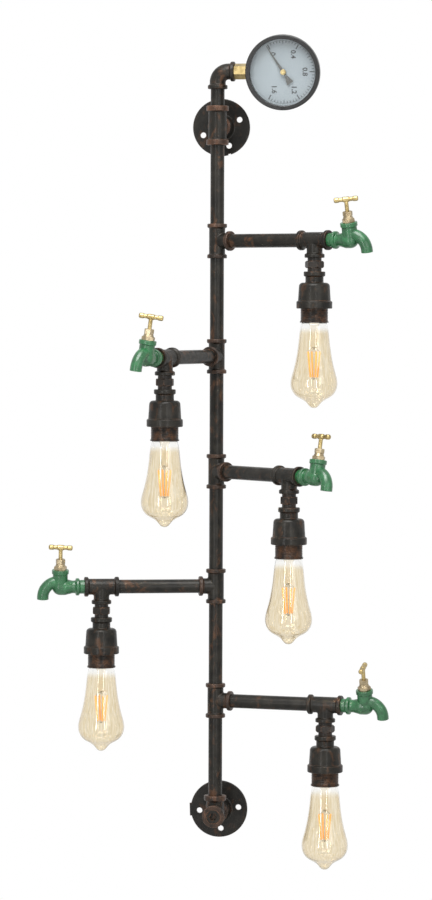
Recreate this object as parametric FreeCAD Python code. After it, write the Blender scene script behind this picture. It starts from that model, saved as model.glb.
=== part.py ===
import FreeCAD, Part
import math
import os

# Industrial pipe wall light: a riser of malleable pipe fittings held off the wall by two
# round flanges, a pressure gauge on the top elbow, and five arms that each end in a tee
# with a garden tap on its outer end and a lamp hanging below it.
#
# Millimetres. The wall is the plane y = 0 and the light stands out towards -Y. +Z is up.
# The origin is the centre of the upper wall flange's back face.

V = FreeCAD.Vector
UP = V(0, 0, 1)

# ---------------------------------------------------------------- layout
TEE_PITCH = 167.0            # one riser fitting's centre to the next
ARM_LENGTH = 167.0           # riser axis to arm tee axis
ARM_AZIMUTH = [-28.0, 250.0, -46.0, 193.0, -12.5]   # degrees from +X, seen from above
TAP_ROLL = [13.0, -8.5, -8.5, -8.0, 14.0]           # each tap's turn about its arm
HANDLE_TURN = [28.0, -70.0, 4.0, -13.0, 94.5]       # T-bar's turn about its spindle
ARM_COUNT = len(ARM_AZIMUTH)

# ---------------------------------------------------------------- pipe and threads
PIPE_R = 10.0                # outside of every pipe and pipe thread
PIPE_WALL = 2.0
SOCKET_DEPTH = 9.5           # how far a pipe screws into a fitting
THREAD_CLEARANCE = 0.05      # radial, between a pipe thread and its socket
RUNNING_CLEARANCE = 0.08     # radial, on parts that turn or slide
SEAT_GAP = 0.1               # axial, between parts of different bodies
PIPE_CHAMFER = 0.6
PIPE_BORE_R = PIPE_R - PIPE_WALL
SOCKET_R = PIPE_R + THREAD_CLEARANCE

# ---------------------------------------------------------------- small fittings
TEE_WALL = 1.6               # pipe's outside to the cast body's outside
TEE_BRANCH_WALL = 1.3
TEE_BAND_WALL = 4.3
TEE_NECK = 3.9               # body's side to the sockets' shoulders
TEE_BAND_WIDTH = 5.0
TEE_FILLET = 2.2             # cast fillet where branch meets run
BAND_BEVEL = 1.6             # slope from band down to body
BAND_EDGE = 1.3              # rounding of a band's corners
TEE_BODY_R = PIPE_R + TEE_WALL
TEE_BRANCH_R = PIPE_R + TEE_BRANCH_WALL
TEE_BAND_R = PIPE_R + TEE_BAND_WALL
TEE_SHOULDER = TEE_BODY_R + TEE_NECK        # centre to socket shoulder
TEE_HALF = TEE_SHOULDER + SOCKET_DEPTH      # centre to face

# ---------------------------------------------------------------- wall fittings
WALL_TEE_WALL = 3.2
WALL_TEE_BRANCH_WALL = 2.9
WALL_TEE_BAND_WALL = 6.2
WALL_TEE_NECK = 5.5
WALL_TEE_BAND_WIDTH = 7.2
WALL_NIPPLE_LENGTH = 28.8
FLANGE_THICKNESS = 5.0
FLANGE_EDGE = 1.4
FLANGE_HUB_HEIGHT = 17.0
FLANGE_HUB_WALL = 5.4
FLANGE_HUB_FLARE = 2.8       # how much wider the hub is at its foot
FLANGE_HOLE_COUNT = 4
FLANGE_HOLE_R = 4.2
FLANGE_HOLE_PCD = 57.8
FLANGE_RIM = 12.9            # hole circle to the flange's edge
FLANGE_HOLE_TURN_UPPER = 23.0
FLANGE_HOLE_TURN_LOWER = 5.5
GATE_STUB_LENGTH = 18.5      # casting gate left on the lower flange's rim
GATE_STUB_PROUD = 2.4
GATE_STUB_TURN = 182.0
RIM_NICK_TURN = -73.0        # small casting flaw in the upper flange's rim
RIM_NICK_WIDTH = 4.0
RIM_NICK_DEPTH = 1.6
PLUG_KEY_ACROSS = 10.0       # hexagonal key recess in the end plug
PLUG_FLOOR = 3.5
WALL_TEE_BODY_R = PIPE_R + WALL_TEE_WALL
WALL_TEE_BRANCH_R = PIPE_R + WALL_TEE_BRANCH_WALL
WALL_TEE_BAND_R = PIPE_R + WALL_TEE_BAND_WALL
WALL_TEE_SHOULDER = WALL_TEE_BODY_R + WALL_TEE_NECK
WALL_TEE_HALF = WALL_TEE_SHOULDER + SOCKET_DEPTH
FLANGE_R = FLANGE_HOLE_PCD / 2 + FLANGE_RIM
FLANGE_HEIGHT = FLANGE_THICKNESS + FLANGE_HUB_HEIGHT
FLANGE_SHOULDER = FLANGE_HEIGHT - SOCKET_DEPTH
STANDOFF = FLANGE_SHOULDER + WALL_NIPPLE_LENGTH + WALL_TEE_SHOULDER    # wall to riser axis

# ---------------------------------------------------------------- gauge
GAUGE_PIPE_LENGTH = 43.4
GAUGE_YAW = 4.5              # elbow leg's swing towards the viewer
GAUGE_ROLL = 9.0             # dial's tip downwards about its stem
CASE_R = 49.75
CASE_WALL = 1.3
CASE_BACK = 12.0             # stem axis to case back
CASE_CORNER = 4.0
BEZEL_WALL = 4.4
BEZEL_DEPTH = 5.0            # how far the bezel reaches back over the case
BEZEL_LIP = 2.5
BEZEL_OVERLAP = 1.85         # how far its lip covers the window's edge
BEZEL_EDGE = 1.6
WINDOW_THICKNESS = 2.0
DIAL_FACE = 13.8             # stem axis to dial's front face
DIAL_TO_WINDOW = 7.7
DIAL_THICKNESS = 0.8
DIAL_LEDGE = 1.6
DIAL_HOLE_R = 2.6
GAUGE_HEX_LENGTH = 20.4
GAUGE_HEX_WALL = 2.0         # neck's outside to the hexagon's flats
GAUGE_NECK_R = 8.0
GAUGE_NECK_REACH = 4.0       # how far the neck reaches in past the case wall
GAUGE_BORE_R = 3.0
GAUGE_BLOCK_GAP = 1.5        # case wall to holder
GAUGE_BLOCK_LENGTH = 20.0    # Bourdon tube's holder inside the case
GAUGE_BLOCK_WIDTH = 16.0
GAUGE_BLOCK_DEPTH = 12.0
BOURDON_INSET = 15.3         # case wall to the tube's centre line
BOURDON_THICKNESS = 3.0
BOURDON_WIDTH = 9.0
BOURDON_SWEEP = 262.0
MOVEMENT_WIDTH = 22.0
MOVEMENT_HEIGHT = 26.0
MOVEMENT_TONGUE_WIDTH = 10.0
MOVEMENT_PLATE = 1.5
MOVEMENT_REAR = -4.0         # rear plate's back face
MOVEMENT_DIAL_GAP = 2.0      # front plate to the dial's back
MOVEMENT_PILLAR_R = 2.0
MOVEMENT_PILLAR_INSET = 1.0
POINTER_ZERO = 122.5         # pointer's direction at rest, degrees from the dial's right
POINTER_TIP_GAP = 3.6        # pointer's tip to the case wall
POINTER_ROOT_WIDTH = 4.2
POINTER_TIP_WIDTH = 0.7
POINTER_TAIL_LENGTH = 19.0
POINTER_TAIL_WIDTH = 11.0
POINTER_NECK_WIDTH = 3.0
POINTER_THICKNESS = 0.6
POINTER_HEIGHT = 2.2         # above the dial
POINTER_HUB_R = 4.2
POINTER_HUB_HEIGHT = 2.4
POINTER_HUB_EDGE = 0.8
ARBOR_R = 1.3
CASE_BORE_R = CASE_R - CASE_WALL
CASE_FRONT = DIAL_FACE + DIAL_TO_WINDOW
BEZEL_R = CASE_R + THREAD_CLEARANCE + BEZEL_WALL
GAUGE_HEX_END = BEZEL_R - 1.0               # gauge centre to the hexagon's inner end
GAUGE_HEX_START = GAUGE_HEX_END + GAUGE_HEX_LENGTH
GAUGE_REACH = TEE_HALF + GAUGE_HEX_START    # riser axis to gauge centre
GAUGE_BLOCK_END = CASE_BORE_R - GAUGE_BLOCK_GAP - GAUGE_BLOCK_LENGTH
ELBOW_RISE = WALL_TEE_SHOULDER + GAUGE_PIPE_LENGTH + TEE_SHOULDER
MOVEMENT_FRONT = DIAL_FACE - DIAL_THICKNESS - MOVEMENT_DIAL_GAP

# ---------------------------------------------------------------- lampholder and bulb cap
BULB_CAP_R = 13.1
BULB_CAP_LENGTH = 22.0
BULB_INSULATOR_HEIGHT = 3.2
BULB_INSULATOR_EDGE = 1.5
BULB_TIP_R = 4.8
BULB_TIP_HEIGHT = 1.4
GLASS_NECK_R = 17.4
GLASS_NECK_HEIGHT = 1.9      # cap's lower edge to the lampholder's mouth
HOLDER_GLASS_GAP = 0.6       # radial, round the glass's neck
HOLDER_WALL = 1.6
HOLDER_INSERT = 23.2         # how far the lampholder sits up inside the reducer
HOLDER_LIP_PROUD = 0.9
HOLDER_LIP_HEIGHT = 2.0
HOLDER_RIB_COUNT = 8         # thread ridges on the visible skirt
HOLDER_RIB_DEPTH = 0.5
HOLDER_TOP_WALL = 3.0
HOLDER_CABLE_R = 6.0
CORE_THICKNESS = 9.0
SCREW_SHELL_WALL = 0.6
SCREW_SHELL_SHORTFALL = 9.3  # screw shell's lower edge to the cap's
CONTACT_WIDTH = 5.0
CONTACT_THICKNESS = 0.6
CONTACT_RISE = 2.6
HOLDER_BORE_R = GLASS_NECK_R + HOLDER_GLASS_GAP
HOLDER_R = HOLDER_BORE_R + HOLDER_WALL
HOLDER_LIP_R = HOLDER_R + HOLDER_LIP_PROUD

# ---------------------------------------------------------------- lamp drop
NIPPLE_WALL = 3.0
NIPPLE_HEX_WALL = 2.0        # thread's outside to the hexagon's flats
NIPPLE_HEX_HEIGHT = 10.2
NIPPLE_HEX_CHAMFER = 2.2
NIPPLE_UPPER_GAP = 4.4       # tee's face to the hexagon
NIPPLE_LOWER_GAP = 4.9       # hexagon to the reducer
REDUCER_COLLAR_WALL = 5.35
REDUCER_COLLAR_HEIGHT = 6.0
REDUCER_NECK_WALL = 2.85
REDUCER_NECK_HEIGHT = 9.8
REDUCER_ROOF = 3.5
REDUCER_CAVITY_HEIGHT = 10.2 # wiring space above the lampholder
REDUCER_WALL = 3.65
REDUCER_TAPER = 1.6          # how much narrower the bell is at its shoulder
REDUCER_SHOULDER_ROUND = 5.5
REDUCER_SEAT_WIDTH = 2.1
REDUCER_BAND_PROUD = 2.3
REDUCER_BAND_WIDTH = 9.8
REDUCER_COLLAR_R = SOCKET_R + REDUCER_COLLAR_WALL
REDUCER_NECK_R = SOCKET_R + REDUCER_NECK_WALL
REDUCER_BELL_R = HOLDER_R + THREAD_CLEARANCE + REDUCER_WALL
REDUCER_BAND_R = REDUCER_BELL_R + REDUCER_BAND_PROUD

# Levels in the drop, all measured down from the arm axis.
NIPPLE_HEX_TOP = TEE_HALF + NIPPLE_UPPER_GAP
NIPPLE_HEX_BOTTOM = NIPPLE_HEX_TOP + NIPPLE_HEX_HEIGHT
REDUCER_TOP = NIPPLE_HEX_BOTTOM + NIPPLE_LOWER_GAP
REDUCER_COLLAR_BOTTOM = REDUCER_TOP + REDUCER_COLLAR_HEIGHT
REDUCER_SHOULDER = REDUCER_COLLAR_BOTTOM + REDUCER_NECK_HEIGHT
REDUCER_CAVITY_TOP = REDUCER_SHOULDER + REDUCER_ROOF
HOLDER_TOP = REDUCER_CAVITY_TOP + REDUCER_CAVITY_HEIGHT
REDUCER_BOTTOM = HOLDER_TOP + HOLDER_INSERT
CORE_TOP = HOLDER_TOP + HOLDER_TOP_WALL
CORE_BOTTOM = CORE_TOP + CORE_THICKNESS
BULB_TOP = CORE_BOTTOM + CONTACT_RISE + SEAT_GAP
BULB_CAP_TOP = BULB_TOP + BULB_TIP_HEIGHT + BULB_INSULATOR_HEIGHT
BULB_CAP_BOTTOM = BULB_CAP_TOP + BULB_CAP_LENGTH
HOLDER_BOTTOM = BULB_CAP_BOTTOM + GLASS_NECK_HEIGHT

# ---------------------------------------------------------------- bulb glass and filament
GLASS_WALL = 1.0
GLASS_EDGE = 0.2             # height of the glass's square upper edge
# Control points of the glass below its neck: radius, and drop below the point before.
GLASS_SWELL = [
    (19.4, 4.7),             # shoulder
    (20.9, 10.0),
    (23.3, 27.0),            # waist
    (28.6, 26.0),
    (33.6, 14.0),            # belly
    (33.8, 13.7),
    (27.0, 11.0),            # turn into the floor
    (17.5, 4.5),
    (11.0, 3.5),             # nub
    (8.6, 5.8),
    (4.5, 3.2),
    (0.0, 0.0),
]
STEM_R = 5.0
STEM_FLARE_R = 10.5
STEM_FLARE_LENGTH = 14.0
STEM_LENGTH = 42.0           # cap's lower edge to the stem's end
STEM_TIP_LENGTH = 6.0
STEM_TUBE_R = 2.0
FILAMENT_COUNT = 4
FILAMENT_R = 1.0
FILAMENT_TOP_R = 9.5
FILAMENT_BOTTOM_R = 5.5
FILAMENT_DROP = 4.0          # stem's end to the filaments' upper ends
FILAMENT_LENGTH = 38.0
FILAMENT_TURN = 25.0
SUPPORT_R = 0.4

# ---------------------------------------------------------------- tap
TAP_INLET_LENGTH = 6.5       # bare inlet between tee and bead
TAP_BEAD_WALL = 2.6
TAP_BEAD_WIDTH = 7.0
TAP_BEAD_EDGE = 1.5
TAP_NECK_R = 9.2
TAP_NECK_LENGTH = 9.7        # bead to belly
TAP_NECK_ROUND = 6.0
TAP_BELLY_R = 11.8
TAP_COLLAR_PROUD = 1.4
TAP_COLLAR_HEIGHT = 5.6
TAP_COLLAR_EDGE = 1.0
TAP_TOP = 25.4               # arm axis to the body's top
TAP_SPOUT_R = 8.4
TAP_SPOUT_WALL = 2.4
TAP_SPOUT_BEND = 22.0
TAP_SPOUT_START = 3.0        # spindle axis to start of the spout's bend
TAP_SPOUT_CREST = 7.6        # spout axis height at its crest
TAP_SPOUT_DROP = 3.4         # straight run below the bend
TAP_WATERWAY_R = 5.5
TAP_LOW_BORE_R = 3.5         # passage that leads under the valve seat
TAP_WALL = 1.5               # least wall below that passage
TAP_SEAT_HEIGHT = 1.2        # valve seat above the arm axis
TAP_SEAT_BORE_R = 4.0
TAP_BONNET_THREAD_R = 7.8
TAP_BONNET_THREAD = 9.0
TAP_CHAMBER_WALL = 3.1
TAP_VALVE_ROOM_STEP = 0.8    # valve room is narrower than the thread by this
TAP_BONNET_HEX_ACROSS = 16.6
TAP_BONNET_HEX_HEIGHT = 5.2
TAP_BONNET_CONE_R = 7.6
TAP_BONNET_NECK_R = 6.3
TAP_BONNET_CONE_HEIGHT = 3.8
TAP_GLAND_ACROSS = 12.2
TAP_GLAND_HEIGHT = 6.8
TAP_HEX_CHAMFER = 0.9
PACKING_WALL = 1.6
PACKING_HEIGHT = 3.0
TAP_SPINDLE_R = 2.9
TAP_SPINDLE_THREAD_R = 4.4
TAP_SPINDLE_THREAD_SHORT = 4.0   # thread's end stops this far below the body's top
TAP_SPINDLE_RISE = 14.0      # bare spindle between gland nut and T-bar
TAP_LIFT = 3.6               # travel from shut to open
TAP_LIFT_SPARE = 1.0
TAP_BAR_LENGTH = 34.6
TAP_BAR_R = 3.0
TAP_BAR_KNOB_R = 3.7
TAP_BAR_KNOB = 6.5
TAP_BAR_HUB_R = 3.9
JUMPER_DISC_R = 5.4
JUMPER_DISC_HEIGHT = 3.0
JUMPER_STEM_R = 1.9
JUMPER_STEM_LENGTH = 6.0
TAP_BEAD_R = PIPE_R + TAP_BEAD_WALL
TAP_BEAD_END = TAP_INLET_LENGTH + TAP_BEAD_WIDTH
TAP_SPINDLE_REACH = TAP_BEAD_END + TAP_NECK_LENGTH + TAP_BELLY_R     # tee face to spindle axis
TAP_CHAMBER_R = TAP_BONNET_THREAD_R + TAP_CHAMBER_WALL
TAP_COLLAR_R = TAP_CHAMBER_R + TAP_COLLAR_PROUD
TAP_SPOUT_BORE_R = TAP_SPOUT_R - TAP_SPOUT_WALL
TAP_LOW_LEVEL = TAP_WALL + TAP_LOW_BORE_R - TAP_NECK_R
TAP_THREAD_BOTTOM = TAP_TOP - TAP_BONNET_THREAD
TAP_BONNET_HEX_TOP = TAP_TOP + TAP_BONNET_HEX_HEIGHT
TAP_BONNET_TOP = TAP_BONNET_HEX_TOP + TAP_BONNET_CONE_HEIGHT
TAP_GLAND_TOP = TAP_BONNET_TOP + TAP_GLAND_HEIGHT
TAP_BAR_HEIGHT = TAP_GLAND_TOP + TAP_SPINDLE_RISE + TAP_BAR_R
TAP_SPINDLE_THREAD_TOP = TAP_TOP - TAP_SPINDLE_THREAD_SHORT
GLAND_BORE_R = TAP_SPINDLE_R + PACKING_WALL
JUMPER_BOTTOM = TAP_SEAT_HEIGHT + SEAT_GAP
JUMPER_TOP = JUMPER_BOTTOM + JUMPER_DISC_HEIGHT
SPINDLE_BOTTOM = JUMPER_TOP + SEAT_GAP

# ---------------------------------------------------------------- wiring
LEAD_R = 1.6
LEAD_BORE_GAP = 1.6          # lead to the pipe's bore
LEAD_BEND = 8.0
LEAD_START = 14.0            # wall to the leads' free ends, where the supply joins them
LEAD_SLOT = [-20.0, -124.0, -72.0, -176.0, 32.0]    # each lead's place in the riser's ring
LEAD_CIRCLE = PIPE_BORE_R - LEAD_R - LEAD_BORE_GAP


# ================================================================ shape helpers

def frame_placement(origin, x_axis, z_axis):
    """Placement that carries local X and Z to the two given directions."""
    y_axis = z_axis.cross(x_axis)
    matrix = FreeCAD.Matrix(
        x_axis.x, y_axis.x, z_axis.x, origin.x,
        x_axis.y, y_axis.y, z_axis.y, origin.y,
        x_axis.z, y_axis.z, z_axis.z, origin.z,
        0, 0, 0, 1)
    return FreeCAD.Placement(matrix)


def placed(shape, placement):
    copy = shape.copy()
    copy.Placement = placement.multiply(copy.Placement)
    return copy


def rounded_wire(corners):
    """Closed wire in the XZ plane through (radius, height, rounding) corners."""
    points = [V(r, 0, z) for r, z, rounding in corners]
    count = len(points)
    starts, ends, arcs = [], [], []
    for i, (r, z, rounding) in enumerate(corners):
        here = points[i]
        arriving = (here - points[i - 1]).normalize()
        leaving = (points[(i + 1) % count] - here).normalize()
        if rounding <= 0:
            starts.append(here)
            ends.append(here)
            arcs.append(None)
            continue
        turn = arriving.getAngle(leaving)
        cut = rounding * math.tan(turn / 2)
        start = here - arriving * cut
        end = here + leaving * cut
        inward = (leaving - arriving).normalize()
        middle = here + inward * (rounding / math.cos(turn / 2) - rounding)
        starts.append(start)
        ends.append(end)
        arcs.append(Part.Arc(start, middle, end).toShape())
    edges = []
    for i in range(count):
        if arcs[i]:
            edges.append(arcs[i])
        following = starts[(i + 1) % count]
        if (following - ends[i]).Length > 1e-6:
            edges.append(Part.LineSegment(ends[i], following).toShape())
    return Part.Wire(edges)


def solid_of(shape):
    """The one solid in a shape, turned right side out."""
    solid = shape.Solids[0] if shape.Solids else Part.makeSolid(shape)
    if solid.Volume < 0:
        solid.reverse()
    return solid


def turned(corners):
    """Solid of revolution about Z from (radius, height, rounding) corners."""
    face = Part.Face(rounded_wire(corners))
    return solid_of(face.revolve(V(0, 0, 0), UP, 360))


def rod(radius, start, end):
    """Round bar between two points."""
    along = end - start
    return Part.makeCylinder(radius, along.Length, start, along)


def box_about(centre, size_x, size_y, size_z):
    corner = V(centre.x - size_x / 2, centre.y - size_y / 2, centre.z - size_z / 2)
    return Part.makeBox(size_x, size_y, size_z, corner)


def hexagon(across, bottom, top, turn=0.0):
    """Hexagonal prism about Z, across flats."""
    corner_r = across / math.sqrt(3)
    points = []
    for i in range(7):
        angle = math.radians(60 * i + turn)
        points.append(V(corner_r * math.cos(angle), corner_r * math.sin(angle), bottom))
    return Part.Face(Part.makePolygon(points)).extrude(V(0, 0, top - bottom))


def chamfered_hexagon(across, bottom, top, chamfer, turn=0.0):
    """Hexagonal prism whose corners are turned off at both ends."""
    corner_r = across / math.sqrt(3) + 0.2
    flat_r = across / 2
    blank = turned([
        (0, bottom, 0), (flat_r, bottom, 0), (corner_r, bottom + chamfer, 0),
        (corner_r, top - chamfer, 0), (flat_r, top, 0), (0, top, 0)])
    return solid_of(hexagon(across, bottom, top, turn).common(blank))


def tube(length, outer_r, bore_r, chamfer):
    """Tube along Z from the origin, its outer ends chamfered."""
    return turned([
        (bore_r, 0, 0), (outer_r - chamfer, 0, 0), (outer_r, chamfer, 0),
        (outer_r, length - chamfer, 0), (outer_r - chamfer, length, 0), (bore_r, length, 0)])


def swept_circle(radius, centre, normal, pivot, axis, angle):
    """Disc swept round an axis: a bend of round bar."""
    disc = Part.Face(Part.Wire(Part.makeCircle(radius, centre, normal)))
    return solid_of(disc.revolve(pivot, axis, angle))


# ================================================================ pipe fittings

def banded_leg(body_r, band_r, band_width, start, half):
    """Solid leg along Z from start to half, with a cast band at its mouth."""
    band_start = half - band_width
    return turned([
        (0, start, 0), (body_r, start, 0), (body_r, band_start - BAND_BEVEL, BAND_EDGE),
        (band_r, band_start, BAND_EDGE), (band_r, half, BAND_EDGE), (0, half, 0)])


def socket(half):
    """Threaded socket and passage of a leg along Z, to be cut out of it."""
    mouth = Part.makeCylinder(SOCKET_R, SOCKET_DEPTH, V(0, 0, half - SOCKET_DEPTH))
    passage = Part.makeCylinder(PIPE_BORE_R, half, V(0, 0, 0))
    return mouth.fuse(passage)


def along_x(shape):
    """Turn a shape built along Z so that it points along +X."""
    return placed(shape, FreeCAD.Placement(V(0, 0, 0), FreeCAD.Rotation(V(0, 1, 0), 90)))


def along_minus_z(shape):
    return placed(shape, FreeCAD.Placement(V(0, 0, 0), FreeCAD.Rotation(V(1, 0, 0), 180)))


def tee(half, body_r, branch_r, band_r, band_width):
    """Tee with its run along Z and its branch along +X."""
    run_top = banded_leg(body_r, band_r, band_width, 0, half)
    branch = banded_leg(branch_r, band_r, band_width, 0, half)
    blank = run_top.fuse([along_minus_z(run_top), along_x(branch)]).removeSplitter()
    seam = []
    for edge in blank.Edges:
        middle = edge.valueAt((edge.FirstParameter + edge.LastParameter) / 2)
        on_run = abs(math.hypot(middle.x, middle.y) - body_r) < 1e-3
        on_branch = abs(math.hypot(middle.y, middle.z) - branch_r) < 1e-3
        if on_run and on_branch:
            seam.append(edge)
    blank = blank.makeFillet(TEE_FILLET, seam)
    bore = socket(half)
    return solid_of(blank.cut([bore, along_minus_z(bore), along_x(bore)]))


def small_tee():
    return tee(TEE_HALF, TEE_BODY_R, TEE_BRANCH_R, TEE_BAND_R, TEE_BAND_WIDTH)


def wall_tee():
    return tee(WALL_TEE_HALF, WALL_TEE_BODY_R, WALL_TEE_BRANCH_R,
               WALL_TEE_BAND_R, WALL_TEE_BAND_WIDTH)


def elbow():
    """Elbow with one leg down -Z and the other along +X, its corner at the origin."""
    bend = TEE_SHOULDER
    pivot = V(bend, 0, -bend)
    start = V(0, 0, -bend)
    leg = banded_leg(TEE_BODY_R, TEE_BAND_R, TEE_BAND_WIDTH, bend, TEE_HALF)
    leg = leg.cut(Part.makeCylinder(SOCKET_R, SOCKET_DEPTH, V(0, 0, bend)))
    outer = swept_circle(TEE_BODY_R, start, UP, pivot, V(0, 1, 0), 90)
    ring = outer.cut(swept_circle(PIPE_BORE_R, start, UP, pivot, V(0, 1, 0), 90))
    return solid_of(ring.fuse([along_minus_z(leg), along_x(leg)]).removeSplitter())


def wall_flange(hole_turn):
    """Round flange from its back face at z = 0, with a threaded hub towards +Z."""
    hub_r = PIPE_R + FLANGE_HUB_WALL
    blank = turned([
        (PIPE_BORE_R, 0, 0), (FLANGE_R, 0, 0), (FLANGE_R, FLANGE_THICKNESS, FLANGE_EDGE),
        (hub_r + FLANGE_HUB_FLARE, FLANGE_THICKNESS, 2 * FLANGE_EDGE),
        (hub_r, FLANGE_HEIGHT, FLANGE_EDGE),
        (SOCKET_R, FLANGE_HEIGHT, 0),
        (SOCKET_R, FLANGE_SHOULDER, 0), (PIPE_BORE_R, FLANGE_SHOULDER, 0)])
    holes = []
    for i in range(FLANGE_HOLE_COUNT):
        angle = math.radians(hole_turn + 360.0 * i / FLANGE_HOLE_COUNT)
        centre = V(FLANGE_HOLE_PCD / 2 * math.cos(angle), FLANGE_HOLE_PCD / 2 * math.sin(angle), 0)
        holes.append(Part.makeCylinder(FLANGE_HOLE_R, FLANGE_THICKNESS, centre))
    return solid_of(blank.cut(holes))


def rim_block(turn, length, reach_in, reach_out):
    """Block across the flange's rim at an angle, for a gate stub or a nick."""
    radial = reach_in + reach_out
    block = box_about(V(FLANGE_R - reach_in + radial / 2, 0, FLANGE_THICKNESS / 2),
                      radial, length, FLANGE_THICKNESS)
    return placed(block, FreeCAD.Placement(V(0, 0, 0), FreeCAD.Rotation(UP, turn)))


def upper_wall_flange():
    nick = rim_block(RIM_NICK_TURN, RIM_NICK_WIDTH, RIM_NICK_DEPTH, RIM_NICK_DEPTH)
    return solid_of(wall_flange(FLANGE_HOLE_TURN_UPPER).cut(nick))


def lower_wall_flange():
    chord_drop = FLANGE_R - math.sqrt(FLANGE_R ** 2 - GATE_STUB_LENGTH ** 2 / 4)
    stub = rim_block(GATE_STUB_TURN, GATE_STUB_LENGTH, chord_drop + 1, GATE_STUB_PROUD - chord_drop)
    return solid_of(wall_flange(FLANGE_HOLE_TURN_LOWER).fuse(stub).removeSplitter())


def end_plug():
    """Flush plug along Z from the socket's shoulder to its mouth, with a key recess."""
    blank = turned([
        (0, 0, 0), (PIPE_R, 0, PIPE_CHAMFER), (PIPE_R, SOCKET_DEPTH, PIPE_CHAMFER),
        (0, SOCKET_DEPTH, 0)])
    key = hexagon(PLUG_KEY_ACROSS, PLUG_FLOOR, SOCKET_DEPTH)
    return solid_of(blank.cut(key))


# ================================================================ lamp drop
# Every shape here is built about Z with z = 0 on the arm axis.

def hex_nipple():
    bore_r = PIPE_R - NIPPLE_WALL
    across = 2 * (PIPE_R + NIPPLE_HEX_WALL)
    bottom = -(REDUCER_TOP + SOCKET_DEPTH)
    barrel = tube(-TEE_SHOULDER - bottom, PIPE_R, bore_r, PIPE_CHAMFER)
    barrel.translate(V(0, 0, bottom))
    nut = chamfered_hexagon(across, -NIPPLE_HEX_BOTTOM, -NIPPLE_HEX_TOP, NIPPLE_HEX_CHAMFER, 20)
    nut = nut.cut(rod(bore_r, V(0, 0, -NIPPLE_HEX_BOTTOM), V(0, 0, -NIPPLE_HEX_TOP)))
    return solid_of(barrel.fuse(nut).removeSplitter())


def bell_reducer():
    """Reducing socket: pipe thread above, wide bell that grips the lampholder below."""
    band_top = REDUCER_BOTTOM - REDUCER_BAND_WIDTH
    socket_bottom = REDUCER_TOP + SOCKET_DEPTH
    holder_r = HOLDER_R + THREAD_CLEARANCE
    return turned([
        (SOCKET_R, -REDUCER_TOP, 0), (REDUCER_COLLAR_R, -REDUCER_TOP, BAND_EDGE),
        (REDUCER_COLLAR_R, -REDUCER_COLLAR_BOTTOM, BAND_EDGE),
        (REDUCER_NECK_R, -REDUCER_COLLAR_BOTTOM - BAND_BEVEL, BAND_EDGE / 2),
        (REDUCER_NECK_R, -REDUCER_SHOULDER, BAND_EDGE),
        (REDUCER_BELL_R - REDUCER_TAPER, -REDUCER_SHOULDER, REDUCER_SHOULDER_ROUND),
        (REDUCER_BELL_R, -band_top + BAND_BEVEL, BAND_EDGE / 2),
        (REDUCER_BAND_R, -band_top, BAND_EDGE), (REDUCER_BAND_R, -REDUCER_BOTTOM, BAND_EDGE),
        (holder_r, -REDUCER_BOTTOM, 0), (holder_r, -HOLDER_TOP, 0),
        (holder_r - REDUCER_SEAT_WIDTH, -HOLDER_TOP, 0),
        (holder_r - REDUCER_SEAT_WIDTH, -REDUCER_CAVITY_TOP, 2 * BAND_EDGE),
        (PIPE_BORE_R, -REDUCER_CAVITY_TOP, 0), (PIPE_BORE_R, -socket_bottom, 0),
        (SOCKET_R, -socket_bottom, 0)])


def lampholder_shell():
    """Moulded cup with a cable hole above and a ribbed skirt below."""
    lip_top = HOLDER_BOTTOM - HOLDER_LIP_HEIGHT
    pitch = (lip_top - REDUCER_BOTTOM) / HOLDER_RIB_COUNT
    valley_r = HOLDER_R - HOLDER_RIB_DEPTH
    skirt = []
    for i in range(HOLDER_RIB_COUNT):
        crest = REDUCER_BOTTOM + pitch * i
        skirt += [(HOLDER_R, -crest - pitch * 0.25, 0), (HOLDER_R, -crest - pitch * 0.55, 0),
                  (valley_r, -crest - pitch * 0.75, 0), (valley_r, -crest - pitch * 0.95, 0)]
    return turned([
        (HOLDER_CABLE_R, -HOLDER_TOP, 0), (HOLDER_R, -HOLDER_TOP, PIPE_CHAMFER),
        *skirt, (HOLDER_LIP_R, -lip_top, 0), (HOLDER_LIP_R, -HOLDER_BOTTOM, PIPE_CHAMFER),
        (HOLDER_BORE_R, -HOLDER_BOTTOM, 0), (HOLDER_BORE_R, -CORE_TOP, 0),
        (HOLDER_CABLE_R, -CORE_TOP, 0)])


def lampholder_core():
    """Insulating disc that carries the contacts, clamped under the shell's roof."""
    rim_r = HOLDER_BORE_R - THREAD_CLEARANCE
    return turned([
        (0, -CORE_TOP, 0), (rim_r, -CORE_TOP, 0), (rim_r, -CORE_BOTTOM, 0), (0, -CORE_BOTTOM, 0)])


def screw_shell():
    """Female brass screw shell, hung from the core."""
    inner_r = BULB_CAP_R + RUNNING_CLEARANCE
    outer_r = inner_r + SCREW_SHELL_WALL
    bottom = BULB_CAP_BOTTOM - SCREW_SHELL_SHORTFALL
    return turned([
        (inner_r, -CORE_BOTTOM, 0), (outer_r, -CORE_BOTTOM, 0), (outer_r, -bottom, 0),
        (inner_r, -bottom, 0)])


def centre_contact():
    """Strip folded back under itself, pressed on by the bulb's tip."""
    top = -CORE_BOTTOM
    bottom = top - CONTACT_RISE
    outline = Part.makePolygon([
        V(-CONTACT_WIDTH, 0, top), V(CONTACT_WIDTH, 0, top),
        V(CONTACT_WIDTH, 0, bottom), V(-CONTACT_WIDTH / 2, 0, bottom),
        V(-CONTACT_WIDTH / 2, 0, bottom + CONTACT_THICKNESS),
        V(CONTACT_WIDTH - CONTACT_THICKNESS, 0, bottom + CONTACT_THICKNESS),
        V(CONTACT_WIDTH - CONTACT_THICKNESS, 0, top - CONTACT_THICKNESS),
        V(-CONTACT_WIDTH, 0, top - CONTACT_THICKNESS), V(-CONTACT_WIDTH, 0, top)])
    strip = Part.Face(outline).extrude(V(0, CONTACT_WIDTH, 0))
    strip.translate(V(0, -CONTACT_WIDTH / 2, 0))
    return solid_of(strip)


# ================================================================ bulb

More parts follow.
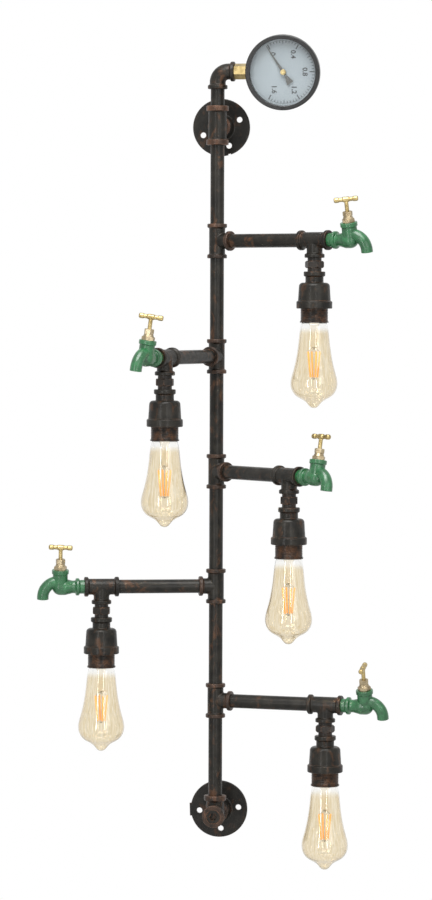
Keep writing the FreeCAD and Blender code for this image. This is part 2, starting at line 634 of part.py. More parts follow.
def bulb_cap():
    """Screw cap with its insulator and contact tip."""
    return turned([
        (0, -BULB_TOP, 0), (BULB_TIP_R, -BULB_TOP, BULB_TIP_HEIGHT / 2),
        (BULB_TIP_R, -BULB_TOP - BULB_TIP_HEIGHT, 0),
        (BULB_CAP_R - BULB_INSULATOR_EDGE, -BULB_CAP_TOP, BULB_INSULATOR_EDGE / 2),
        (BULB_CAP_R, -BULB_CAP_TOP - BULB_INSULATOR_EDGE, BULB_INSULATOR_EDGE / 2),
        (BULB_CAP_R, -BULB_CAP_BOTTOM, 0), (0, -BULB_CAP_BOTTOM, 0)])


def glass_points(inset):
    """Control points from cap to tip in the XZ plane, set in by a distance."""
    points = [V(BULB_CAP_R, 0, -BULB_CAP_BOTTOM), V(GLASS_NECK_R, 0, -BULB_CAP_BOTTOM - GLASS_EDGE)]
    for radius, drop in GLASS_SWELL:
        points.append(V(radius, 0, points[-1].z - drop))
    if inset == 0:
        return points
    shrunk = [V(points[0].x - inset, 0, points[0].z)]
    for i in range(1, len(points) - 1):
        along = (points[i + 1] - points[i - 1]).normalize()
        shrunk.append(points[i] + V(along.z, 0, -along.x) * inset)
    shrunk[-1].z = points[-1].z + inset
    shrunk.append(V(0, 0, points[-1].z + inset))
    return shrunk


def glass_curve(inset):
    curve = Part.BSplineCurve()
    curve.buildFromPoles(glass_points(inset), False, 3)
    return curve


def bulb_glass():
    """Thin glass shell, open at the cap."""
    outside = glass_curve(0)
    inside = glass_curve(GLASS_WALL)
    wall = Part.Face(Part.Wire([
        outside.toShape(), Part.LineSegment(outside.EndPoint, inside.EndPoint).toShape(),
        inside.toShape(), Part.LineSegment(inside.StartPoint, outside.StartPoint).toShape()]))
    return solid_of(wall.revolve(V(0, 0, 0), UP, 360))


def bulb_filament():
    """Glass stem with its exhaust tube, the LED filaments and their support wires."""
    top = -BULB_CAP_BOTTOM
    stem_end = top - STEM_LENGTH
    high = stem_end - FILAMENT_DROP
    low = high - FILAMENT_LENGTH
    stem = turned([
        (0, top, 0), (STEM_FLARE_R, top, 0), (STEM_R, top - STEM_FLARE_LENGTH, 3),
        (STEM_R, stem_end + STEM_TIP_LENGTH, 2), (STEM_TUBE_R, stem_end, 0), (0, stem_end, 0)])
    wires = [rod(SUPPORT_R, V(0, 0, stem_end), V(0, 0, low))]
    for i in range(FILAMENT_COUNT):
        angle = math.radians(360.0 * i / FILAMENT_COUNT + FILAMENT_TURN)
        outward = V(math.cos(angle), math.sin(angle), 0)
        upper = outward * FILAMENT_TOP_R + UP * high
        lower = outward * FILAMENT_BOTTOM_R + UP * low
        root = outward * STEM_TUBE_R + UP * (stem_end + SUPPORT_R)
        wires.append(rod(FILAMENT_R, upper, lower))
        wires.append(rod(SUPPORT_R, root, upper))
        wires.append(rod(SUPPORT_R, V(0, 0, low), lower))
    return solid_of(stem.fuse(wires))


# ================================================================ tap
# Built with x along the arm from the tee's face, z along the spindle.

def on_spindle_axis(height):
    return V(TAP_SPINDLE_REACH, 0, height)


def spout(radius, overrun):
    """Spout's solid at a radius: level start, quarter bend and straight drop."""
    root = on_spindle_axis(TAP_SPOUT_CREST)
    crest = root + V(TAP_SPOUT_START, 0, 0)
    pivot = crest - V(0, 0, TAP_SPOUT_BEND)
    drop_start = pivot + V(TAP_SPOUT_BEND, 0, 0)
    bend = swept_circle(radius, crest, V(1, 0, 0), pivot, V(0, 1, 0), 90)
    drop = rod(radius, drop_start, drop_start - V(0, 0, TAP_SPOUT_DROP + overrun))
    return bend.fuse([drop, rod(radius, root, crest)])


def tap_body_blank():
    """Outside of the cast body: threaded inlet, bead, belly, valve chamber and spout."""
    inlet = turned([
        (0, -SOCKET_DEPTH, 0), (PIPE_R, -SOCKET_DEPTH, PIPE_CHAMFER),
        (PIPE_R, TAP_INLET_LENGTH, TAP_BEAD_EDGE / 2),
        (TAP_BEAD_R, TAP_INLET_LENGTH + TAP_BEAD_EDGE, TAP_BEAD_EDGE),
        (TAP_BEAD_R, TAP_BEAD_END - TAP_BEAD_EDGE, TAP_BEAD_EDGE),
        (TAP_NECK_R, TAP_BEAD_END, TAP_BEAD_EDGE),
        (TAP_NECK_R, TAP_BEAD_END + TAP_NECK_LENGTH * 0.4, TAP_NECK_ROUND),
        (TAP_BELLY_R, TAP_SPINDLE_REACH - TAP_BELLY_R * 0.6, TAP_NECK_ROUND),
        (TAP_BELLY_R, TAP_SPINDLE_REACH, 0), (0, TAP_SPINDLE_REACH, 0)])
    belly = Part.makeSphere(TAP_BELLY_R, on_spindle_axis(0))
    collar_bottom = TAP_TOP - TAP_COLLAR_HEIGHT
    edge = TAP_COLLAR_EDGE
    chamber = turned([
        (0, 0, 0), (TAP_CHAMBER_R, 0, 0), (TAP_CHAMBER_R, collar_bottom - edge, edge),
        (TAP_COLLAR_R, collar_bottom, edge), (TAP_COLLAR_R, TAP_TOP, edge), (0, TAP_TOP, 0)])
    chamber.translate(on_spindle_axis(0))
    return along_x(inlet).fuse([belly, chamber, spout(TAP_SPOUT_R, 0)])


def tap_body():
    """Cast body with its waterway, valve seat, chamber and spout bored out."""
    room_r = TAP_BONNET_THREAD_R - TAP_VALVE_ROOM_STEP
    cuts = [
        rod(TAP_WATERWAY_R, V(-SOCKET_DEPTH, 0, 0), V(TAP_BEAD_END, 0, 0)),
        rod(TAP_LOW_BORE_R, V(TAP_INLET_LENGTH, 0, TAP_LOW_LEVEL), on_spindle_axis(TAP_LOW_LEVEL)),
        rod(TAP_SEAT_BORE_R, on_spindle_axis(TAP_LOW_LEVEL), on_spindle_axis(TAP_SEAT_HEIGHT)),
        rod(room_r, on_spindle_axis(TAP_SEAT_HEIGHT), on_spindle_axis(TAP_THREAD_BOTTOM)),
        rod(TAP_BONNET_THREAD_R + THREAD_CLEARANCE, on_spindle_axis(TAP_THREAD_BOTTOM),
            on_spindle_axis(TAP_TOP)),
        spout(TAP_SPOUT_BORE_R, 1),
    ]
    return solid_of(tap_body_blank().cut(cuts))


# The headwork below is built about the spindle's own axis, with z = 0 on the arm axis.

def tap_bonnet():
    """Brass headwork: thread into the body, hexagon and cone, bored for the spindle."""
    barrel = turned([
        (0, TAP_THREAD_BOTTOM, 0), (TAP_BONNET_THREAD_R, TAP_THREAD_BOTTOM, PIPE_CHAMFER),
        (TAP_BONNET_THREAD_R, TAP_TOP, 0), (0, TAP_TOP, 0)])
    nut = chamfered_hexagon(TAP_BONNET_HEX_ACROSS, TAP_TOP, TAP_BONNET_HEX_TOP, TAP_HEX_CHAMFER, 10)
    cone = turned([
        (0, TAP_BONNET_HEX_TOP, 0), (TAP_BONNET_CONE_R, TAP_BONNET_HEX_TOP, 0),
        (TAP_BONNET_NECK_R, TAP_BONNET_TOP, PIPE_CHAMFER), (0, TAP_BONNET_TOP, 0)])
    thread_room = TAP_SPINDLE_THREAD_TOP + TAP_LIFT + TAP_LIFT_SPARE
    packing_floor = TAP_BONNET_TOP - PACKING_HEIGHT
    cuts = [
        rod(TAP_SPINDLE_R + RUNNING_CLEARANCE, V(0, 0, 0), UP * TAP_BONNET_TOP),
        rod(TAP_SPINDLE_THREAD_R + RUNNING_CLEARANCE, V(0, 0, 0), UP * thread_room),
        rod(GLAND_BORE_R, UP * packing_floor, UP * TAP_BONNET_TOP),
    ]
    return solid_of(barrel.fuse([nut, cone]).removeSplitter().cut(cuts))


def tap_packing():
    """Ring of gland packing round the spindle."""
    inner_r = TAP_SPINDLE_R + RUNNING_CLEARANCE
    outer_r = GLAND_BORE_R - THREAD_CLEARANCE
    bottom = TAP_BONNET_TOP - PACKING_HEIGHT
    return turned([
        (inner_r, bottom, 0), (outer_r, bottom, 0), (outer_r, TAP_BONNET_TOP, 0),
        (inner_r, TAP_BONNET_TOP, 0)])


def tap_gland_nut():
    nut = chamfered_hexagon(TAP_GLAND_ACROSS, TAP_BONNET_TOP, TAP_GLAND_TOP, TAP_HEX_CHAMFER, 40)
    return solid_of(nut.cut(rod(TAP_SPINDLE_R + RUNNING_CLEARANCE, V(0, 0, 0), UP * TAP_GLAND_TOP)))


def tap_jumper():
    """Valve disc with the loose stem that the spindle carries."""
    stem_top = JUMPER_TOP + JUMPER_STEM_LENGTH
    return turned([
        (0, JUMPER_BOTTOM, 0), (JUMPER_DISC_R, JUMPER_BOTTOM, 0.5), (JUMPER_DISC_R, JUMPER_TOP, 0.5),
        (JUMPER_STEM_R, JUMPER_TOP, 0), (JUMPER_STEM_R, stem_top, 0), (0, stem_top, 0)])


def tap_handle_bar():
    """T-bar along Z: a waisted rod with knobs at its ends and a boss in the middle."""
    half = TAP_BAR_LENGTH / 2
    knob_start = half - TAP_BAR_KNOB
    side = [
        (TAP_BAR_HUB_R, TAP_BAR_HUB_R, 1.5), (TAP_BAR_R, TAP_BAR_HUB_R * 1.4, 1),
        (TAP_BAR_R, knob_start - TAP_BAR_R * 0.4, 1), (TAP_BAR_KNOB_R, knob_start, 1.5),
        (TAP_BAR_KNOB_R, half, 2.2), (0, half, 0)]
    mirrored = [(r, -z, rounding) for r, z, rounding in reversed(side)]
    return turned(mirrored + side)


def tap_spindle(handle_turn):
    """Spindle and T-bar in one piece, bored below for the jumper's stem."""
    shank = turned([
        (0, SPINDLE_BOTTOM, 0), (TAP_SPINDLE_THREAD_R, SPINDLE_BOTTOM, 0.4),
        (TAP_SPINDLE_THREAD_R, TAP_SPINDLE_THREAD_TOP, 0.4), (TAP_SPINDLE_R, TAP_SPINDLE_THREAD_TOP, 0),
        (TAP_SPINDLE_R, TAP_BAR_HEIGHT, 0), (0, TAP_BAR_HEIGHT, 0)])
    bar = placed(along_x(tap_handle_bar()),
                 FreeCAD.Placement(UP * TAP_BAR_HEIGHT, FreeCAD.Rotation(UP, handle_turn)))
    socket_top = SPINDLE_BOTTOM + JUMPER_STEM_LENGTH + SEAT_GAP
    jumper_socket = rod(JUMPER_STEM_R + RUNNING_CLEARANCE, UP * SPINDLE_BOTTOM, UP * socket_top)
    return solid_of(shank.fuse(bar).removeSplitter().cut(jumper_socket))


# ================================================================ gauge
# Built about the gauge's own axis: x to the dial's right, y up, z out of the dial.

def gauge_case():
    ledge_top = DIAL_FACE - DIAL_THICKNESS
    floor = -CASE_BACK + CASE_WALL
    blank = turned([
        (0, -CASE_BACK, 0), (CASE_R, -CASE_BACK, CASE_CORNER), (CASE_R, CASE_FRONT, 0),
        (CASE_BORE_R, CASE_FRONT, 0), (CASE_BORE_R, ledge_top, 0),
        (CASE_BORE_R - DIAL_LEDGE, ledge_top, 0), (CASE_BORE_R, ledge_top - DIAL_LEDGE, 0),
        (CASE_BORE_R, floor, CASE_CORNER - CASE_WALL), (0, floor, 0)])
    stem_hole = rod(GAUGE_NECK_R + THREAD_CLEARANCE, V(-CASE_R, 0, 0), V(-CASE_R + CASE_CORNER, 0, 0))
    return solid_of(blank.cut(stem_hole))


def gauge_bezel():
    fit_r = CASE_R + THREAD_CLEARANCE
    lip_r = CASE_R - BEZEL_OVERLAP
    back = CASE_FRONT - BEZEL_DEPTH
    window_top = CASE_FRONT + WINDOW_THICKNESS
    front = window_top + BEZEL_LIP
    return turned([
        (fit_r, back, 0), (BEZEL_R, back, BEZEL_EDGE / 2), (BEZEL_R, front, BEZEL_EDGE),
        (lip_r, front, BEZEL_EDGE / 2), (lip_r, window_top, 0), (fit_r, window_top, 0)])


def gauge_window():
    return Part.makeCylinder(CASE_R, WINDOW_THICKNESS, UP * CASE_FRONT)


def gauge_dial():
    rim_r = CASE_BORE_R - THREAD_CLEARANCE
    back = UP * (DIAL_FACE - DIAL_THICKNESS)
    disc = Part.makeCylinder(rim_r, DIAL_THICKNESS, back)
    return solid_of(disc.cut(Part.makeCylinder(DIAL_HOLE_R, DIAL_THICKNESS, back)))


def gauge_block():
    """Holder inside the case, next to the case wall."""
    return box_about(V(-GAUGE_BLOCK_END - GAUGE_BLOCK_LENGTH / 2, 0, 0),
                     GAUGE_BLOCK_LENGTH, GAUGE_BLOCK_WIDTH, GAUGE_BLOCK_DEPTH)


def gauge_socket():
    """Brass stem: pipe thread, hexagon, neck through the case wall and inner holder."""
    thread_start = -GAUGE_HEX_START - SOCKET_DEPTH
    neck_end = -CASE_BORE_R + GAUGE_NECK_REACH
    thread = turned([
        (0, thread_start, 0), (PIPE_R, thread_start, PIPE_CHAMFER), (PIPE_R, -GAUGE_HEX_START, 0),
        (0, -GAUGE_HEX_START, 0)])
    across = 2 * (GAUGE_NECK_R + GAUGE_HEX_WALL)
    nut = chamfered_hexagon(across, -GAUGE_HEX_START, -GAUGE_HEX_END, 0.8, 15)
    neck = rod(GAUGE_NECK_R, V(0, 0, -GAUGE_HEX_END), V(0, 0, neck_end))
    bore = rod(GAUGE_BORE_R, V(0, 0, thread_start), V(0, 0, neck_end))
    stem = thread.fuse([nut, neck]).removeSplitter()
    return solid_of(along_x(stem).fuse(gauge_block()).removeSplitter().cut(along_x(bore)))


def gauge_bourdon_tube():
    """Flattened C-shaped tube from the holder round the case."""
    centre = V(CASE_BORE_R - BOURDON_INSET, 0, 0)
    bar = box_about(centre, BOURDON_THICKNESS, BOURDON_THICKNESS, BOURDON_WIDTH)
    section = bar.slice(V(0, 1, 0), 0)[0]
    curl = solid_of(Part.Face(section).revolve(V(0, 0, 0), UP, BOURDON_SWEEP))
    curl.rotate(V(0, 0, 0), UP, 180)
    return solid_of(curl.cut(gauge_block()))


def gauge_movement():
    """Two plates on pillars, the rear one with a tongue fixed to the holder's end."""
    rear_middle = MOVEMENT_REAR + MOVEMENT_PLATE / 2
    front_middle = MOVEMENT_FRONT - MOVEMENT_PLATE / 2
    rear = box_about(UP * rear_middle, MOVEMENT_WIDTH, MOVEMENT_HEIGHT, MOVEMENT_PLATE)
    front = box_about(UP * front_middle, MOVEMENT_WIDTH, MOVEMENT_HEIGHT, MOVEMENT_PLATE)
    tongue = box_about(V(-GAUGE_BLOCK_END / 2, 0, rear_middle),
                       GAUGE_BLOCK_END, MOVEMENT_TONGUE_WIDTH, MOVEMENT_PLATE)
    inset = MOVEMENT_PILLAR_R + MOVEMENT_PILLAR_INSET
    pillars = []
    for side_x in (-1, 1):
        for side_y in (-1, 1):
            foot = V(side_x * (MOVEMENT_WIDTH / 2 - inset), side_y * (MOVEMENT_HEIGHT / 2 - inset),
                     MOVEMENT_REAR)
            pillars.append(rod(MOVEMENT_PILLAR_R, foot, V(foot.x, foot.y, MOVEMENT_FRONT)))
    arbor_hole = rod(ARBOR_R + RUNNING_CLEARANCE, UP * MOVEMENT_REAR, UP * MOVEMENT_FRONT)
    frame = rear.fuse([front, tongue] + pillars).removeSplitter()
    return solid_of(frame.cut(arbor_hole))


def gauge_pointer():
    """Pointer, hub and arbor, built pointing along +X."""
    level = DIAL_FACE + POINTER_HEIGHT
    length = CASE_BORE_R - POINTER_TIP_GAP
    waist = -POINTER_TAIL_LENGTH / 3
    upper_edge = [
        V(length, POINTER_TIP_WIDTH / 2, level), V(0, POINTER_ROOT_WIDTH / 2, level),
        V(waist, POINTER_NECK_WIDTH / 2, level), V(-POINTER_TAIL_LENGTH, POINTER_TAIL_WIDTH / 2, level)]
    lower_edge = [V(point.x, -point.y, level) for point in reversed(upper_edge)]
    outline = Part.makePolygon(upper_edge + lower_edge + upper_edge[:1])
    blade = Part.Face(outline).extrude(V(0, 0, POINTER_THICKNESS))
    hub_top = level + POINTER_HUB_HEIGHT
    hub = turned([
        (0, level, 0), (POINTER_HUB_R, level, 0), (POINTER_HUB_R, hub_top, POINTER_HUB_EDGE),
        (0, hub_top, 0)])
    arbor = rod(ARBOR_R, UP * MOVEMENT_REAR, UP * level)
    return solid_of(blade.fuse([hub, arbor]).removeSplitter())


# ================================================================ wiring

def rounded_path(points, bend):
    """Straight runs through the points, joined by tangent arcs of one radius."""
    edges = []
    last = points[0]
    for i in range(1, len(points) - 1):
        corner = points[i]
        arriving = (corner - points[i - 1]).normalize()
        leaving = (points[i + 1] - corner).normalize()
        turn = arriving.getAngle(leaving)
        cut = bend * math.tan(turn / 2)
        start = corner - arriving * cut
        end = corner + leaving * cut
        inward = (leaving - arriving).normalize()
        middle = corner + inward * (bend / math.cos(turn / 2) - bend)
        edges.append(Part.LineSegment(last, start).toShape())
        edges.append(Part.Arc(start, middle, end).toShape())
        last = end
    edges.append(Part.LineSegment(last, points[-1]).toShape())
    return Part.Wire(edges)


def lamp_lead(index):
    """One lamp's lead: wall inlet, riser, arm and drop, to the lampholder's core."""
    slot = math.radians(LEAD_SLOT[index])
    side = LEAD_CIRCLE * math.cos(slot)
    forward = LEAD_CIRCLE * math.sin(slot)
    arm = arm_direction(index)
    level = riser_height(index + 1)
    in_riser = V(side, -STANDOFF + forward, 0)
    along_arm = ARM_LENGTH - in_riser_reach(in_riser, arm)
    near_wall = V(side, -LEAD_START, -forward)
    top_corner = V(in_riser.x, in_riser.y, -forward)
    arm_corner = V(in_riser.x, in_riser.y, level)
    drop_corner = arm_corner + arm * along_arm
    end = drop_corner - UP * CORE_TOP
    path = rounded_path([near_wall, top_corner, arm_corner, drop_corner, end], LEAD_BEND)
    ring = Part.Wire(Part.makeCircle(LEAD_R, near_wall, V(0, -1, 0)))
    return solid_of(path.makePipeShell([ring], True, False))


def in_riser_reach(point, arm):
    """How far out along an arm a point inside the riser already is."""
    return (point - V(0, -STANDOFF, 0)).dot(arm)


# ================================================================ places

def arm_direction(index):
    angle = math.radians(ARM_AZIMUTH[index])
    return V(math.cos(angle), math.sin(angle), 0)


def riser_height(step):
    """Height of a riser fitting's centre, counted down from the upper wall tee."""
    return -TEE_PITCH * step


def riser_point(height):
    return V(0, -STANDOFF, height)


def arm_tee_centre(index):
    return riser_point(riser_height(index + 1)) + arm_direction(index) * ARM_LENGTH


def drop_placement(index):
    """Frame of a lamp: x along the arm, z up, origin at the arm tee's centre."""
    return frame_placement(arm_tee_centre(index), arm_direction(index), UP)


def tap_placement(index):
    """Frame of a tap: x out along the arm from the tee's face, z along the spindle."""
    arm = arm_direction(index)
    roll = math.radians(TAP_ROLL[index])
    spindle = UP * math.cos(roll) + arm.cross(UP) * math.sin(roll)
    return frame_placement(arm_tee_centre(index) + arm * TEE_HALF, arm, spindle)


def gauge_directions():
    """Gauge's own axes: stem direction and dial normal."""
    yaw = math.radians(GAUGE_YAW)
    roll = math.radians(GAUGE_ROLL)
    leg = V(math.cos(yaw), -math.sin(yaw), 0)
    facing = leg.cross(UP)
    normal = facing * math.cos(roll) - UP * math.sin(roll)
    return leg, normal


def gauge_placement():
    leg, normal = gauge_directions()
    return frame_placement(riser_point(ELBOW_RISE) + leg * GAUGE_REACH, leg, normal)


def flange_placement(height):
    """Flange's own z points out of the wall, its x to the right and its y up."""
    return frame_placement(V(0, 0, height), V(1, 0, 0), V(0, -1, 0))


def upright(shape, origin, x_axis):
    return placed(shape, frame_placement(origin, x_axis, UP))


def pipe_between(start, end):
    """Pipe from one socket's shoulder to the other."""
    along = (end - start)
    length = along.Length
    direction = along.normalize()
    across = V(0, 1, 0) if abs(direction.y) < 0.5 else V(1, 0, 0)
    across = (across - direction * across.dot(direction)).normalize()
    return placed(tube(length, PIPE_R, PIPE_BORE_R, PIPE_CHAMFER),
                  frame_placement(start, across, direction))


# ================================================================ assembly

def wall_pieces():
    lowest = riser_height(ARM_COUNT + 1)
    back = V(0, 1, 0)
    nipples = []
    for height in (0.0, lowest):
        tee_end = V(0, WALL_TEE_SHOULDER - STANDOFF, height)
        nipples.append(pipe_between(tee_end, V(0, -FLANGE_SHOULDER, height)))
    lower_tee = placed(wall_tee(), frame_placement(riser_point(lowest), UP, V(0, -1, 0)))
    plug_start = riser_point(lowest) - back * WALL_TEE_SHOULDER
    return {
        "wall_flange_upper": [placed(upper_wall_flange(), flange_placement(0.0))],
        "wall_flange_lower": [placed(lower_wall_flange(), flange_placement(lowest))],
        "wall_nipples": nipples,
        "wall_tee_upper": [upright(wall_tee(), riser_point(0.0), back)],
        "wall_tee_lower": [lower_tee],
        "end_plug": [placed(end_plug(), frame_placement(plug_start, V(1, 0, 0), V(0, -1, 0)))],
    }


def riser_pieces():
    pieces = {}
    pipes = []
    for step in range(ARM_COUNT + 1):
        upper_shoulder = WALL_TEE_SHOULDER if step == 0 else TEE_SHOULDER
        lower_shoulder = WALL_TEE_SHOULDER if step == ARM_COUNT else TEE_SHOULDER
        top = riser_point(riser_height(step) - upper_shoulder)
        bottom = riser_point(riser_height(step + 1) + lower_shoulder)
        pipes.append(pipe_between(bottom, top))
    pieces["riser_pipes"] = pipes
    tee_solid = small_tee()
    for index in range(ARM_COUNT):
        centre = riser_point(riser_height(index + 1))
        pieces["riser_tee_%d" % (index + 1)] = [upright(tee_solid, centre, arm_direction(index))]
    return pieces


def arm_pieces():
    pipes, tees, nipples, reducers = [], [], [], []
    shells, cores, screws, contacts, leads = [], [], [], [], []
    tee_solid = small_tee()
    for index in range(ARM_COUNT):
        arm = arm_direction(index)
        start = riser_point(riser_height(index + 1)) + arm * TEE_SHOULDER
        end = arm_tee_centre(index) - arm * TEE_SHOULDER
        pipes.append(pipe_between(start, end))
        tees.append(placed(tee_solid, frame_placement(arm_tee_centre(index), UP * -1, arm)))
        place = drop_placement(index)
        nipples.append(placed(hex_nipple(), place))
        reducers.append(placed(bell_reducer(), place))
        shells.append(placed(lampholder_shell(), place))
        cores.append(placed(lampholder_core(), place))
        screws.append(placed(screw_shell(), place))
        contacts.append(placed(centre_contact(), place))
        leads.append(lamp_lead(index))
    return {
        "arm_pipes": pipes, "arm_tees": tees, "hex_nipples": nipples,
        "bell_reducers": reducers, "lampholder_shells": shells, "lampholder_cores": cores,
        "screw_shells": screws, "centre_contacts": contacts, "lamp_leads": leads,
    }


def bulb_pieces():
    pieces = {}
    for index in range(ARM_COUNT):
        place = drop_placement(index)
        number = index + 1
        pieces["bulb_glass_%d" % number] = [placed(bulb_glass(), place)]
        pieces["bulb_cap_%d" % number] = [placed(bulb_cap(), place)]
        pieces["bulb_filament_%d" % number] = [placed(bulb_filament(), place)]
    return pieces


def tap_pieces():
    pieces = {"tap_bodies": [], "tap_bonnets": [], "tap_packings": [], "tap_gland_nuts": []}
    body = tap_body()
    for index in range(ARM_COUNT):
        place = tap_placement(index)
        on_spindle = place.multiply(FreeCAD.Placement(on_spindle_axis(0), FreeCAD.Rotation()))
        number = index + 1
        pieces["tap_bodies"].append(placed(body, place))
        pieces["tap_bonnets"].append(placed(tap_bonnet(), on_spindle))
        pieces["tap_packings"].append(placed(tap_packing(), on_spindle))
        pieces["tap_gland_nuts"].append(placed(tap_gland_nut(), on_spindle))
        pieces["tap_spindle_%d" % number] = [placed(tap_spindle(HANDLE_TURN[index]), on_spindle)]
        pieces["tap_jumper_%d" % number] = [placed(tap_jumper(), on_spindle)]
    return pieces


def gauge_pieces():
    leg, normal = gauge_directions()
    corner = riser_point(ELBOW_RISE)
    pipe_start = riser_point(WALL_TEE_SHOULDER)
    pipe_end = corner - UP * TEE_SHOULDER
    place = gauge_placement()
    at_zero = place.multiply(FreeCAD.Placement(V(0, 0, 0), FreeCAD.Rotation(UP, POINTER_ZERO)))
    return {
        "gauge_pipe": [pipe_between(pipe_start, pipe_end)],
        "gauge_elbow": [upright(elbow(), corner, leg)],
        "gauge_socket": [placed(gauge_socket(), place)],
        "gauge_case": [placed(gauge_case(), place)],
        "gauge_bezel": [placed(gauge_bezel(), place)],
        "gauge_window": [placed(gauge_window(), place)],
        "gauge_dial": [placed(gauge_dial(), place)],
        "gauge_bourdon_tube": [placed(gauge_bourdon_tube(), place)],
        "gauge_movement": [placed(gauge_movement(), place)],
        "gauge_pointer": [placed(gauge_pointer(), at_zero)],
    }


def write_pieces(pieces):
    os.makedirs("parts", exist_ok=True)
    for node, solids in pieces.items():
        shape = solids[0] if len(solids) == 1 else Part.makeCompound(solids)
        shape.exportStep("parts/%s.step" % node)
        bad = [solid for solid in solids if not solid.isValid() or solid.Volume <= 0]
        print("%-20s %d solid(s) %10.0f mm3%s" % (
            node, len(solids), shape.Volume, "  INVALID" if bad else ""))


all_pieces = {}
for group in (wall_pieces, riser_pieces, arm_pieces, bulb_pieces, tap_pieces, gauge_pieces):
    all_pieces.update(group())
write_pieces(all_pieces)
print(len(all_pieces), "nodes")
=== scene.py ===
import math

import bpy
import bmesh
from mathutils import Matrix, Vector


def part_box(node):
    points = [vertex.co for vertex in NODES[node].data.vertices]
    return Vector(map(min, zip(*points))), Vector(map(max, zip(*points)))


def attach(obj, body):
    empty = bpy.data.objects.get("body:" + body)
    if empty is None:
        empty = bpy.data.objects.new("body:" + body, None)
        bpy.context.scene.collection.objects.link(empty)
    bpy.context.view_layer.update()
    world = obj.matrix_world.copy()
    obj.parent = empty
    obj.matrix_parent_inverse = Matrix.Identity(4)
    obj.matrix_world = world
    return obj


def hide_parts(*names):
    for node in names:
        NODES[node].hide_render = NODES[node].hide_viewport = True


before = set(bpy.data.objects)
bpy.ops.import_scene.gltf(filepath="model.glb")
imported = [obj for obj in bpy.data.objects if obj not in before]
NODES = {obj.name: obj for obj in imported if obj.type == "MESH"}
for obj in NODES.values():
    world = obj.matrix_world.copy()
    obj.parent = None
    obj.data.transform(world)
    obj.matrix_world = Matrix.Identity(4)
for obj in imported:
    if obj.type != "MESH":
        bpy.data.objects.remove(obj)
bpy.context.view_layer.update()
SCENE = bpy.context.scene
UP = Vector((0, 0, 1))
MM = 0.001
LAMPS = (1, 2, 3, 4, 5)

# ---------------------------------------------------------------- camera
# a long lens five metres away, half a metre right of the riser, at a height between arms 1 and 2
CAMERA_PLACE = Vector((0.511, -5.027, -0.261))
YAW, PITCH, ROLL = (math.radians(a) for a in (-5.88, -2.397, 0.21))
CAMERA_REACH = 40
LENS_PIXELS = 3440
IMAGE_HEIGHT = 900
SENSOR_HEIGHT = 24


def aimed(forward, roll=0.0):
    """A rotation whose -Z looks along forward and whose Y is up, turned by roll."""
    forward = forward.normalized()
    right = forward.cross(UP).normalized()
    up = right.cross(forward)
    right, up = (right * math.cos(roll) + up * math.sin(roll),
                 up * math.cos(roll) - right * math.sin(roll))
    return Matrix((right, up, -forward)).transposed().to_4x4()


def add_camera():
    data = bpy.data.cameras.new("camera")
    data.sensor_fit = "VERTICAL"
    data.sensor_height = SENSOR_HEIGHT
    data.lens = LENS_PIXELS / IMAGE_HEIGHT * SENSOR_HEIGHT
    data.clip_end = CAMERA_REACH
    obj = bpy.data.objects.new("camera", data)
    SCENE.collection.objects.link(obj)
    look = Vector((math.sin(YAW) * math.cos(PITCH),
                   math.cos(YAW) * math.cos(PITCH),
                   math.sin(PITCH)))
    obj.matrix_world = Matrix.Translation(CAMERA_PLACE) @ aimed(look, ROLL)
    SCENE.camera = obj


# ---------------------------------------------------------------- studio
SKY_COLOUR, SKY_STRENGTH = (0.95, 0.97, 1.0), 0.38
WHITE, WHITE_STRENGTH = (1, 1, 1), 1.0
LIT_POINT = Vector((0, -0.06, -0.45))
# name, place, width and height in metres, power in watts
LIGHTS = [
    ("key", (-0.9, -2.3, 2.0), 1.3, 1.3, 26),
    ("top", (0.1, -1.3, 1.7), 1.5, 1.8, 80),
    ("fill", (2.2, -2.6, 0.4), 1.6, 1.6, 15),
    ("strip_left", (-0.75, -1.9, -0.5), 0.16, 1.5, 9),
    ("strip_right", (0.75, -2.1, -0.5), 0.13, 1.5, 7),
]
FLOOR_PLACE = (0, -0.3, -1.42)
FLOOR_RADIUS, FLOOR_SEGMENTS = 1.6, 128
FLOOR_TONES = (0.80, 0.80, 0.79), (0.84, 0.84, 0.83)
# the camera sees the floor's paint within the first radius and plain white from the second on
FADE_FROM, FADE_TO = 0.35, 1.35


def add_world():
    """White where the camera, gloss and glass look, and a soft grey sky for everything else."""
    world = bpy.data.worlds.new("studio")
    SCENE.world = world
    world.use_nodes = True
    tree = world.node_tree
    tree.nodes.clear()
    path = tree.nodes.new("ShaderNodeLightPath")
    shown = path.outputs["Is Camera Ray"]
    for ray in ("Is Glossy Ray", "Is Transmission Ray"):
        either = tree.nodes.new("ShaderNodeMath")
        either.operation = "MAXIMUM"
        tree.links.new(shown, either.inputs[0])
        tree.links.new(path.outputs[ray], either.inputs[1])
        shown = either.outputs[0]
    mix = tree.nodes.new("ShaderNodeMixShader")
    tree.links.new(shown, mix.inputs[0])
    backgrounds = ((SKY_COLOUR, SKY_STRENGTH), (WHITE, WHITE_STRENGTH))
    for k, (colour, strength) in enumerate(backgrounds):
        background = tree.nodes.new("ShaderNodeBackground")
        background.inputs["Color"].default_value = (*colour, 1)
        background.inputs["Strength"].default_value = strength
        tree.links.new(background.outputs[0], mix.inputs[k + 1])
    out = tree.nodes.new("ShaderNodeOutputWorld")
    tree.links.new(mix.outputs[0], out.inputs[0])


def add_light(name, place, width, height, power):
    data = bpy.data.lights.new(name, "AREA")
    data.shape = "RECTANGLE"
    data.size = width
    data.size_y = height
    data.energy = power
    obj = bpy.data.objects.new(name, data)
    SCENE.collection.objects.link(obj)
    place = Vector(place)
    obj.matrix_world = Matrix.Translation(place) @ aimed(LIT_POINT - place)


